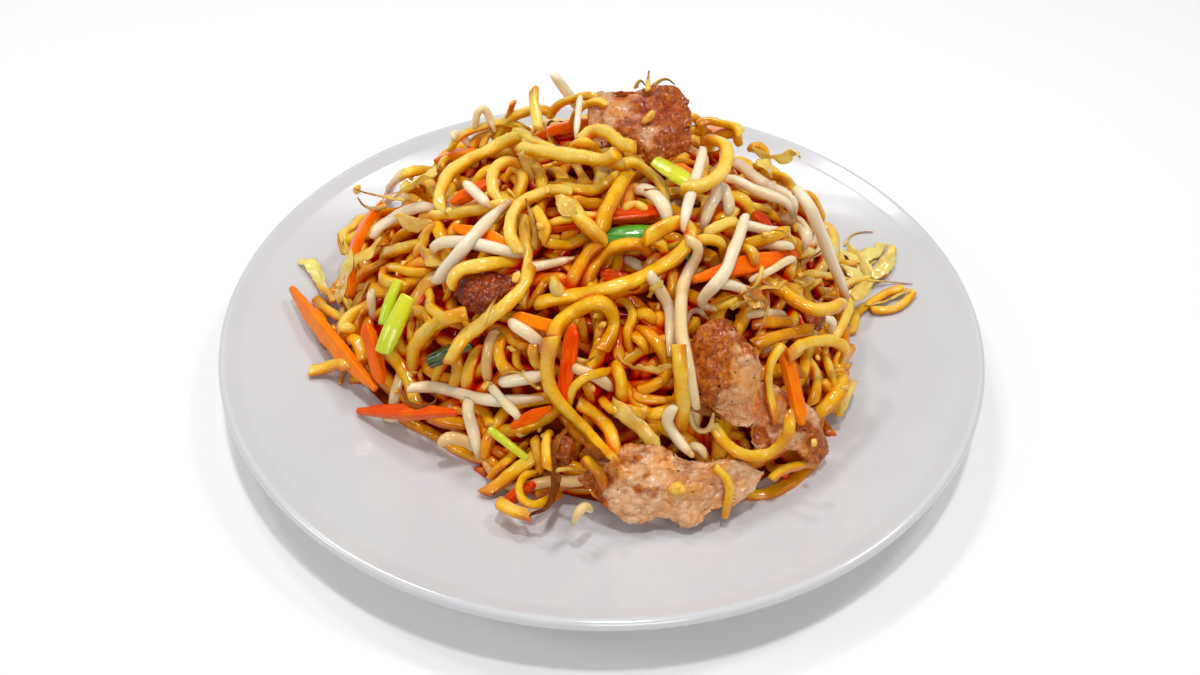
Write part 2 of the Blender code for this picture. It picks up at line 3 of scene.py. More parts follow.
import bmesh
import bpy
import numpy as np
from mathutils import Matrix, Vector
from mathutils.bvhtree import BVHTree


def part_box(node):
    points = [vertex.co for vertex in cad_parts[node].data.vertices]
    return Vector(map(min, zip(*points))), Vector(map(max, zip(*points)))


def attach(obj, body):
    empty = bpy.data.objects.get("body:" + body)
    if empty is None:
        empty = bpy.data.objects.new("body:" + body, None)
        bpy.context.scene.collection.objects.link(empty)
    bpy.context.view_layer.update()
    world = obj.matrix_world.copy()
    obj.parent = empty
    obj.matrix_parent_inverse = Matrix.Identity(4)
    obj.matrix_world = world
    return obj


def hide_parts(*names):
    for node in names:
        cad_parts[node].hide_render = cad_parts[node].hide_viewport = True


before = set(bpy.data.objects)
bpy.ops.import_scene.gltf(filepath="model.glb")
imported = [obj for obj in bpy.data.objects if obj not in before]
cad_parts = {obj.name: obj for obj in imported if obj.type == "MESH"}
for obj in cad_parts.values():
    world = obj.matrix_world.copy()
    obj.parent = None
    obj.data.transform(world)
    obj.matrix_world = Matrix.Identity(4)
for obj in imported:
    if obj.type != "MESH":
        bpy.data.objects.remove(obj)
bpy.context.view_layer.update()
print("frame loaded:", len(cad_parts), "nodes")

mm = 0.001  # everything below is worked out in millimetres
scene = bpy.context.scene


# camera, where the photo was taken from

cameraSet = {
    "lens": 30.0,
    "sensor": 36.0,
    "place": (0.0, -276.3, 258.0),
    "right": (0.99985348, 0.01303658, 0.01109392),
    "up": (-0.01701024, 0.6840426, 0.7292437),
    "ahead": (-0.00191813, 0.72932556, -0.68416412),
    "frame": (1200, 675),
}


def makeCamera():
    data = bpy.data.cameras.new("camera")
    data.lens = cameraSet["lens"]
    data.sensor_width = cameraSet["sensor"]
    data.clip_start = 0.01
    camera = bpy.data.objects.new("camera", data)
    back = -Vector(cameraSet["ahead"]).normalized()
    right = Vector(cameraSet["right"]).normalized()
    turn = Matrix((right, back.cross(right), back)).transposed().to_4x4()
    turn.translation = Vector(cameraSet["place"]) * mm
    camera.matrix_world = turn
    scene.collection.objects.link(camera)
    scene.camera = camera


makeCamera()


# small tools

def linked(name, mesh, material):
    made = bpy.data.objects.new(name, mesh)
    scene.collection.objects.link(made)
    mesh.materials.append(material)
    return made


def meshFrom(name, points, faces):
    mesh = bpy.data.meshes.new(name)
    mesh.from_pydata(np.asarray(points, float) * mm, [], faces)
    mesh.shade_smooth()
    return mesh


def addValues(mesh, name, values):
    mesh.attributes.new(name, "FLOAT", "POINT").data.foreach_set("value", np.asarray(values, np.float32))


def stands(piece, node):
    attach(piece, "root")
    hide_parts(node)


def blended(values, whole, part):
    # weighs the eight cells of a grid round each spot
    total = np.zeros(len(part))
    for corner in range(8):
        step = np.array([corner & 1, corner >> 1 & 1, corner >> 2 & 1])
        weight = np.prod(np.where(step, part, 1 - part), axis=1)
        cell = (whole + step) % values.shape
        total += weight * values[cell[:, 0], cell[:, 1], cell[:, 2]]
    return total


bumpSet = {"seed": 7, "cells": 32, "start": 100.37}
bumpTable = np.random.default_rng(bumpSet["seed"]).uniform(-1, 1, (bumpSet["cells"],) * 3)


def bumps(points, size, shift=0.0):
    # smooth noise, -1 to 1, with lumps about as wide as size
    p = np.asarray(points, float) / size + bumpSet["start"] + shift
    whole = np.floor(p).astype(int)
    part = p - whole
    return blended(bumpTable, whole, part * part * (3 - 2 * part))


def unit(vectors):
    return vectors / np.maximum(np.linalg.norm(vectors, axis=-1, keepdims=True), 1e-9)


curveSteps = 24  # points of a curve from one corner to the next


def smoothLine(corners, step):
    # points a step apart along a curve through the corners
    c = np.asarray(corners, float)
    if len(c) == 2:
        c = np.array([c[0], c.mean(0), c[1]])
    ends = np.vstack([2 * c[0] - c[1], c, 2 * c[-1] - c[-2]])
    dense = []
    for k in range(len(c) - 1):
        a, b, d, e = ends[k:k + 4]
        t = np.linspace(0, 1, curveSteps, endpoint=False)[:, None]
        dense.append(0.5 * (2 * b + (d - a) * t + (2 * a - 5 * b + 4 * d - e) * t**2
                            + (3 * b - a - 3 * d + e) * t**3))
    dense = np.vstack([*dense, c[-1:]])
    return evenly(dense, step)


def evenly(line, step):
    walked = np.r_[0, np.cumsum(np.linalg.norm(np.diff(line, axis=0), axis=1))]
    count = max(4, int(round(walked[-1] / step)) + 1)
    spots = np.linspace(0, walked[-1], count)
    return np.stack([np.interp(spots, walked, line[:, k]) for k in range(line.shape[1])], 1)


# the plate

plateSet = {
    "radius": 135.0,
    "rim": 20.0,
    "floor": 5.0,
    "flatRadius": 70.0,
    "risePower": 1.7,
    "spokes": 160,
    "lip": (133.2, 1.8),  # middle and half thickness of the rounded rim
    "lipTurn": (-65, 118),
    # the underside from the middle to the foot ring's outer edge, as (radius, height)
    "foot": [(0, 1.8), (60, 1.8), (71.2, 1.8), (72.0, 1.2), (72.4, 0.35), (73.0, 0.0), (76.0, 0.0),
             (76.7, 0.3), (77.4, 1.1), (78.5, 1.6)],
    "thick": 5.0,
    "thins": 0.025,  # per mm outwards from where the wall begins
    "wall": (84, 126),
    "upper": (129, 66),
}


def plateTop(r):
    share = np.maximum(0, r - plateSet["flatRadius"]) / (plateSet["radius"] - plateSet["flatRadius"])
    return plateSet["floor"] + (plateSet["rim"] - plateSet["floor"]) * share ** plateSet["risePower"]


# the heap's form, and the height of what lies on it

heapSet = {
    "reach": 95.0,
    "lobes": ((1, 2.5, 134.0), (2, 4.5, -34.0), (3, 5.0, 165.0)),
    "peak": (10.0, 16.0),
    "rise": 69.0,
    "shoulder": 0.62,
    "bare": ((14.0, -103.0), 22.0),  # a spot on the plate that strands keep clear of
    "coreRise": 51.0,
    "coreShare": 0.84,
    "blur": 4.0,
    "half": 140,  # the maps below reach this far from the plate's centre, one cell a millimetre
}


def heapReach(angle):
    return heapSet["reach"] + sum(
        size * np.cos(waves * angle - math.radians(phase)) for waves, size, phase in heapSet["lobes"]
    )


def heapShare(x, y):
    share = np.minimum(1, np.hypot(x, y) / heapReach(np.arctan2(y, x)))
    for _ in range(8):
        dx = x - heapSet["peak"][0] * (1 - share)
        dy = y - heapSet["peak"][1] * (1 - share)
        share = np.minimum(1, np.hypot(dx, dy) / heapReach(np.arctan2(dy, dx)))
    return share


def blurred(values, width):
    reach = int(width * 3)
    weights = np.exp(-0.5 * (np.arange(-reach, reach + 1) / width) ** 2)
    weights /= weights.sum()
    for axis in (0, 1):
        padded = np.pad(values, [(reach, reach) if k == axis else (0, 0) for k in (0, 1)], mode="edge")
        values = np.apply_along_axis(lambda row: np.convolve(row, weights, "valid"), axis, padded)
    return values


gridLine = np.arange(-heapSet["half"], heapSet["half"] + 1, 1.0)
gridX, gridY = np.meshgrid(gridLine, gridLine, indexing="ij")
gridPlate = plateTop(np.hypot(gridX, gridY))
gridShare = heapShare(gridX, gridY)
gridOuter = gridPlate + heapSet["rise"] * (1 - gridShare**2) ** heapSet["shoulder"]
innerShare = np.minimum(1, gridShare / heapSet["coreShare"])
gridCore = gridPlate + heapSet["coreRise"] * (1 - innerShare**2) ** heapSet["shoulder"]
gridCore = np.maximum(gridPlate, blurred(gridCore - gridPlate, heapSet["blur"]) + gridPlate)
slopeX, slopeY = np.gradient(blurred(gridCore, 2.0))
gridNormal = unit(np.stack([-slopeX, -slopeY, np.ones_like(slopeX)], -1))
gridRoom = (gridOuter - gridCore) * gridNormal[..., 2]  # thickness of the layer of strands
gridPoint = np.stack([gridX, gridY, gridCore], -1)
gridTop = np.zeros_like(gridCore)  # how high the strands laid so far reach above the core
gridTraced = np.zeros_like(gridCore)  # 1 where a traced strand lies


def sample(values, xy):
    p = np.clip(np.asarray(xy, float) + heapSet["half"], 0, 2 * heapSet["half"] - 1.001)
    whole = p.astype(int)
    part = p - whole
    i, j = whole[..., 0], whole[..., 1]
    u, v = part[..., 0], part[..., 1]
    if values.ndim == 3:
        u, v = u[..., None], v[..., None]
    return ((1 - u) * (1 - v) * values[i, j] + u * (1 - v) * values[i + 1, j]
            + (1 - u) * v * values[i, j + 1] + u * v * values[i + 1, j + 1])


def corePoints(xy):
    return np.concatenate([xy, sample(gridCore, xy)[..., None]], -1)


def coreNormals(xy):
    return unit(sample(gridNormal, xy))


print("heap form ready")


# toppings: where their solids are

toppingNames = [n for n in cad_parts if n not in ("plate", "noodle_heap")]


def nodeShape(name):
    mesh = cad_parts[name].data
    points = np.empty(len(mesh.vertices) * 3, np.float32)
    mesh.vertices.foreach_get("co", points)
    return points.reshape(-1, 3).astype(float) / mm, [tuple(p.vertices) for p in mesh.polygons]


def toppingTree(names):
    points, faces = [], []
    for name in names:
        own, ownFaces = nodeShape(name)
        faces += [tuple(i + len(points) for i in f) for f in ownFaces]
        points += [tuple(p) for p in own]
    return BVHTree.FromPolygons(points, faces)


allToppings = toppingTree(toppingNames)
porkOnly = toppingTree([n for n in toppingNames if n.startswith("pork")])
castSet = {"below": 2, "above": 70, "reach": 125}  # where a topping is looked for, from the core
nothing = 99.0  # stands for no height at all


def toppingSpan(base, normal, tree):
    # how high above the core a topping begins and ends, or None
    start = Vector(base)
    out = Vector(normal)
    low = tree.ray_cast(start - out * castSet["below"], out)[3]
    if low is None:
        return None
    high = tree.ray_cast(start + out * castSet["above"], -out)[3]
    return low - castSet["below"], castSet["above"] - (high or 0)


def spanGrids(tree):
    bottom = np.full(gridCore.shape, nothing)
    top = np.full(gridCore.shape, -nothing)
    for spot in np.ndindex(gridCore.shape):
        if gridX[spot] ** 2 + gridY[spot] ** 2 > castSet["reach"] ** 2:
            continue
        span = toppingSpan(gridPoint[spot], gridNormal[spot], tree)
        if span:
            bottom[spot], top[spot] = span
    return bottom, top


def covered(top):
    return top > -50


def widened(values, steps, pick):
    for _ in range(steps):
        spread = values.copy()
        for dx, dy in ((1, 0), (-1, 0), (0, 1), (0, -1)):
            spread = pick(spread, np.roll(values, (dx, dy), (0, 1)))
        values = spread
    return values


gridUnder, gridOver = spanGrids(allToppings)
gridUnder = widened(gridUnder, 2, np.minimum)
gridOver = widened(gridOver, 2, np.maximum)
porkOver = widened(spanGrids(porkOnly)[1], 2, np.maximum)
print("toppings mapped:", len(toppingNames))


# laying strands, each on top of those before it

class Strand:
    pass


strands = []
laidPoints = np.zeros((0, 3))
laidRadii = np.zeros(0)
stepLength = 1.6
bodySet = {"leaf": 0.22, "shred": 0.4, "curl": 0.6, "crumb": 0.7}  # half thickness over half width


def bodyRadius(kind, radius):
    return radius * bodySet.get(kind, 1.0)


def neededHeight(base, normal, radius, press, sink=0.9):
    # press below 1 lets soft strands squeeze into those they cross
    need = np.full(len(base), radius * sink)
    if not len(laidPoints):
        return need
    middle = base.mean(0)
    far = np.linalg.norm(base - middle, axis=1).max() + 24
    near = np.linalg.norm(laidPoints - middle, axis=1) < far
    points, radii = laidPoints[near], laidRadii[near]
    if not len(points):
        return need
    between = points[None] - base[:, None]
    along = np.einsum("nmk,nk->nm", between, normal)
    aside = (between**2).sum(-1) - along**2
    touch = (radii + radius) * press
    rise = touch**2 - aside
    height = np.where(rise > 0, along + np.sqrt(np.maximum(rise, 0)), -nothing)
    return np.maximum(need, height.max(1))


def relaxed(need, rounds):
    height = need.copy()
    for _ in range(rounds):
        padded = np.r_[height[0], height, height[-1]]
        height = np.maximum(need, 0.25 * padded[:-2] + 0.5 * height + 0.25 * padded[2:])
    return height


def overToppings(base, normal, need, radius, always=False):
    # how high a strand runs over each topping that it can't pass under
    side = unit(np.cross(np.gradient(base, axis=0), normal))
    over = np.full(len(base), -nothing)
    for k in range(len(base)):
        for shift, rise in ((-1, 0.6), (0, 0.95), (1, 0.6)):
            span = toppingSpan(base[k] + side[k] * shift * radius, normal[k], allToppings)
            if span and (always or need[k] + radius + 0.2 > span[0]):
                over[k] = max(over[k], span[1] + radius * rise)
    return over


def stamp(base, height, radius):
    reach = int(radius + 2)
    for point, high in zip(base, height):
        i = int(round(point[0])) + heapSet["half"]
        j = int(round(point[1])) + heapSet["half"]
        if not (reach <= i < gridTop.shape[0] - reach and reach <= j < gridTop.shape[1] - reach):
            continue
        block = (slice(i - reach, i + reach + 1), slice(j - reach, j + reach + 1))
        away = ((gridPoint[block] - point) ** 2).sum(-1)
        dome = high + np.sqrt(np.maximum(radius**2 - away, 0)) * 0.9
        gridTop[block] = np.where(away < radius**2, np.maximum(gridTop[block], dome), gridTop[block])


def keepStrand(line, base, height, radius, kind, tone):
    global laidPoints, laidRadii
    made = Strand()
    made.line, made.radius, made.kind, made.tone = line, radius, kind, tone
    made.body = bodyRadius(kind, radius)
    strands.append(made)
    laidPoints = np.vstack([laidPoints, line])
    laidRadii = np.r_[laidRadii, np.full(len(line), made.body)]
    stamp(base, height, made.body)


def capped(height, cap):
    return np.where(height > cap, cap + 0.4 * (height - cap), height)


diveSet = {"reach": 7.0, "share": 0.3, "clear": 4}


def dived(height, xy, radius, depth):
    # lets a strand's ends sink between those below, but not into the plate
    walked = np.r_[0, np.cumsum(np.linalg.norm(np.diff(xy, axis=0), axis=1))]
    left = np.minimum(walked, walked[-1] - walked)
    reach = min(diveSet["reach"], walked[-1] * diveSet["share"] + 0.1)
    drop = depth * np.clip(1 - left / reach, 0, 1) ** 2
    high = sample(gridCore, xy) - sample(gridPlate, xy) > diveSet["clear"]
    lowest = np.where(high, -radius, radius * 0.9)
    return np.maximum(height - drop, np.minimum(height, lowest))


def layRoute(xy, radius, kind, tone, stiff, dive=0.0):
    base = corePoints(xy)
    normal = coreNormals(xy)
    body = bodyRadius(kind, radius)
    need = capped(neededHeight(base, normal, body, 0.8), np.maximum(sample(gridRoom, xy) + 1, body))
    over = overToppings(base, normal, need, body)
    height = relaxed(np.maximum(need, over), stiff)
    height = dived(height, xy, body, dive)
    line = base + normal * height[:, None]
    keepStrand(line, base, height, radius, kind, tone)


# routes for strands that fill the heap

def growRoutes(draw, starts, headings, length, curl):
    # walks many trial strands over the core at once
    count = len(starts)
    steps = int(length / stepLength)
    xy = np.array(starts, float)
    ahead = np.stack([np.cos(headings), np.sin(headings), np.zeros(count)], -1)
    steady = draw.uniform(-1, 1, count) * curl * 0.5
    waves = []
    for far, least, most in ((14, 0.2, 1), (6.5, 0.1, 0.8)):  # long bends, then short ones
        pace = draw.uniform(0.6, 1.4, count) / far
        waves.append((pace, draw.uniform(0, 6.28, count), draw.uniform(least, most, count) * curl))
    routes = [xy.copy()]
    for k in range(steps):
        normal = coreNormals(xy)
        ahead = unit(ahead - normal * (ahead * normal).sum(-1, keepdims=True))
        bend = steady.copy()
        for pace, phase, size in waves:
            bend += size * np.sin(pace * k * stepLength + phase)
        bend = (bend * stepLength)[:, None]
        ahead = ahead * np.cos(bend) + np.cross(normal, ahead) * np.sin(bend)
        xy = xy + ahead[:, :2] * stepLength
        routes.append(xy.copy())
    return np.stack(routes, 1)


costSet = {"high": 2.5, "outside": 3, "topping": 1.4, "bare": 4, "pork": 60, "traced": 30}


def routeCost(routes, radius, onTop):
    # low where a strand would fill a dip, high where it would stand proud or hide what the photo shows
    top = sample(gridTop, routes)
    room = sample(gridRoom, routes)
    reach = np.linalg.norm(routes, axis=-1) - heapReach(np.arctan2(routes[..., 1], routes[..., 0]))
    high = np.maximum(0, top + 2 * radius - room - 1.0)
    cost = top.mean(1) + costSet["high"] * high.mean(1)
    cost = cost + costSet["outside"] * np.maximum(0, reach - 2).mean(1)
    cost += costSet["topping"] * covered(sample(gridOver, routes)).mean(1)
    spot, wide = heapSet["bare"]
    cost += costSet["bare"] * np.maximum(0, wide - np.linalg.norm(routes - np.array(spot), axis=-1)).mean(1)
    if onTop:
        cost += (costSet["pork"] * covered(sample(porkOver, routes)).mean(1)
                 + costSet["traced"] * sample(gridTraced, routes).mean(1))
    return cost


def longestRun(good):
    best, start = (0, 0), None
    for k, ok in enumerate(list(good) + [False]):
        if ok and start is None:
            start = k
        if not ok and start is not None:
            if k - start > best[1] - best[0]:
                best = (start, k)
            start = None
    return best


fillSet = {
    "seed": 5,
    "tries": 40,
    "shortest": 16,  # steps
    "stiff": 18,
    "gap": 0.3,
    "squeeze": 0.78,
    "dive": 6.5,
    # radius, length and how strongly it bends
    "noodle": ((2.35, 2.75), (60, 130), 0.062),
    "sprout": ((1.9, 2.2), (34, 58), 0.022),
    # for each layer: how many, the share of sprouts, how deep each sinks, how far it may stand up,
    # and its shade, from pale 0 to brown 1
    "below": {"count": 120, "sprouts": 0.12, "sink": 0.1, "proud": 0.5, "tone": (0.45, 0.55)},
    "above": {"count": 150, "sprouts": 0.22, "sink": 0.9, "proud": 4.5, "tone": (0.0, 1.0)},
}


def startSpots(draw, count):
    share = np.sqrt(draw.uniform(0, 1, count)) * 0.99
    angle = draw.uniform(0, 2 * np.pi, count)
    x = heapSet["peak"][0] * (1 - share) + heapReach(angle) * share * np.cos(angle)
    y = heapSet["peak"][1] * (1 - share) + heapReach(angle) * share * np.sin(angle)
    return np.stack([x, y], -1)


def fillLayer(part, draw):
    layer, below = fillSet[part], part == "below"
    laid = 0
    for _ in range(layer["count"]):
        kind = "sprout" if draw.uniform() < layer["sprouts"] else "noodle"
        radii, lengths, curl = fillSet[kind]
        radius, length = draw.uniform(*radii), draw.uniform(*lengths)
        starts = startSpots(draw, fillSet["tries"])
        headings = draw.uniform(0, 2 * np.pi, fillSet["tries"])
        routes = growRoutes(draw, starts, headings, length, curl)
        xy = routes[np.argmin(routeCost(routes, radius, not below))]
        base, normal = corePoints(xy), coreNormals(xy)
        need = neededHeight(base, normal, radius, fillSet["squeeze"], layer["sink"])
        height = relaxed(need, fillSet["stiff"])
        if below:
            good = height + radius + fillSet["gap"] < sample(gridUnder, xy)
        else:
            good = ~covered(sample(gridOver, xy)) & (sample(gridTraced, xy) < 0.5)
        good &= height + radius < sample(gridRoom, xy) + layer["proud"]
        start, stop = longestRun(good)
        if stop - start < fillSet["shortest"]:
            continue
        palest, more = layer["tone"]
        tone = palest + more * draw.uniform(0, 1)
        if below:
            base, normal = base[start:stop], normal[start:stop]
            height = relaxed(need[start:stop], fillSet["stiff"])
            line = base + normal * height[:, None]
            keepStrand(line, base, height, radius, kind, tone)
        else:
            layRoute(xy[start:stop], radius, kind, tone, fillSet["stiff"], fillSet["dive"])
        laid += 1
    return laid


fillDraw = np.random.default_rng(fillSet["seed"])
print("lower strands:", fillLayer("below", fillDraw))


# strands that can be told apart in the photo, traced as the camera sees them, lowest first

cameraPlace = np.array(cameraSet["place"])
cameraTurn = np.array([cameraSet["right"], cameraSet["up"], cameraSet["ahead"]])
pixelFocus = cameraSet["frame"][0] * cameraSet["lens"] / cameraSet["sensor"]
sightSet = {
    "near": 230.0,
    "far": 560.0,
    "step": 1.5,
    "ridge": (0.7, 42),  # the heap's share that can be a ridge, and how far a strand stands over it
    "behind": (0.93, 0.03),  # share of the heap and slant past which a sight line has missed the heap
    "slope": 1.6,
}


def sightLines(pixels):
    p = np.asarray(pixels, float)
    wide, high = cameraSet["frame"]
    across = (p[:, 0] - wide / 2) / pixelFocus
    upward = (high / 2 - p[:, 1]) / pixelFocus
    return unit(np.stack([across, upward, np.ones(len(p))], -1) @ cameraTurn)


def seenAt(rays, height):
    # where each sight line meets the surface that lies height above the core
    along = np.arange(sightSet["near"], sightSet["far"], sightSet["step"])
    points = cameraPlace + rays[:, None] * along[:, None]
    flat = points[..., :2]
    gap = (points[..., 2] - sample(gridCore, flat)) * sample(gridNormal, flat)[..., 2] - height[:, None]
    inside = gap < 0
    rows = np.arange(len(rays))
    first = np.maximum(inside.argmax(1), 1)
    # a sight line that clears the ridge belongs to a strand standing on it, not to the plate behind
    ahead = np.arange(len(along))[None] < np.where(inside.any(1), first, len(along))[:, None]
    above = ahead & (sample(gridShare, flat) < sightSet["ridge"][0])
    drop = np.where(above, points[..., 2] - sample(gridCore, flat), nothing)
    ridge = np.maximum(drop.argmin(1), 1)
    landed = flat[rows, first]
    faces = -(sample(gridNormal, landed) * rays).sum(-1)
    outside, grazing = sightSet["behind"]
    missed = (sample(gridShare, landed) > outside) | (faces < grazing) | ~inside.any(1)
    over = (drop.min(1) < sightSet["ridge"][1]) & missed
    first = np.where(over, ridge, first)
    before, after = gap[rows, first - 1], gap[rows, first]
    share = np.where(over, 1.0, np.clip(before / np.maximum(before - after, 1e-6), 0, 1))
    reach = along[first - 1] + share * (along[first] - along[first - 1])
    spare = np.where(over, np.maximum(0, after), 0.0)
    return reach, spare


def spread(values, width):
    # smooths along a strand, ends kept
    reach = int(width * 2) + 1
    weights = np.exp(-0.5 * (np.arange(-reach, reach + 1) / width) ** 2)
    weights /= weights.sum()
    start, stop = 2 * values[0] - values[reach:0:-1], 2 * values[-1] - values[-2:-reach - 2:-1]
    padded = np.vstack([start, values, stop])
    return np.apply_along_axis(lambda row: np.convolve(row, weights, "valid"), 0, padded)


def inFront(reach, rays, radius):
    # keeps a strand on the viewer's side of the toppings that it crosses
    for k, ray in enumerate(rays):
        met = allToppings.ray_cast(Vector(cameraPlace), Vector(ray))[3]
        if met is not None:
            reach[k] = min(reach[k], met - 0.8 * radius)
    for k in range(1, len(reach)):
        reach[k] = min(reach[k], reach[k - 1] + sightSet["slope"])
    for k in range(len(reach) - 2, -1, -1):
        reach[k] = min(reach[k], reach[k + 1] + sightSet["slope"])
    return reach


traceSet = {"step": 4.5, "start": 6.0, "rounds": 4, "squeeze": 0.7, "shortest": 4, "smooth": 2.2}


def traced(kind, pixels, size, tone, stops, cap, stiff, dive):
    # stops: the strand ends where it would cross a topping, or else it runs over it
    rays = sightLines(smoothLine(pixels, traceSet["step"]))
    radius = bodyRadius(kind, size)
    height = np.full(len(rays), radius + traceSet["start"])
    for _ in range(traceSet["rounds"]):
        reach, spare = seenAt(rays, height)
        seen = cameraPlace + rays * reach[:, None]
        normal = coreNormals(seen[:, :2])
        flat = seen[:, :2] - normal[:, :2] * (height + spare)[:, None]
        base, normal = corePoints(flat), coreNormals(flat)
        room = np.maximum(sample(gridRoom, flat) + cap, radius)
        need = capped(neededHeight(base, normal, radius, traceSet["squeeze"]), room)
        over = overToppings(base, normal, need, radius, not stops)
        if stops:
            start, stop = longestRun(~covered(over))
            if stop - start < traceSet["shortest"]:
                return
            rays, base, over, need = rays[start:stop], base[start:stop], over[start:stop], need[start:stop]
        height = relaxed(np.maximum(need, over), stiff)
    reach, spare = seenAt(rays, height)
    if not stops:
        reach = inFront(reach, rays, radius)
    if len(reach) > 8:
        reach = spread(reach[:, None], traceSet["smooth"])[:, 0]
    line = cameraPlace + rays * reach[:, None]
    sunk = dived(height, line[:, :2], radius, dive) - height
    line = line + coreNormals(line[:, :2]) * sunk[:, None]
    before = gridTop.copy()
    keepStrand(line, base, height + spare, size, kind, tone)
    gridTraced[gridTop > before] = 1


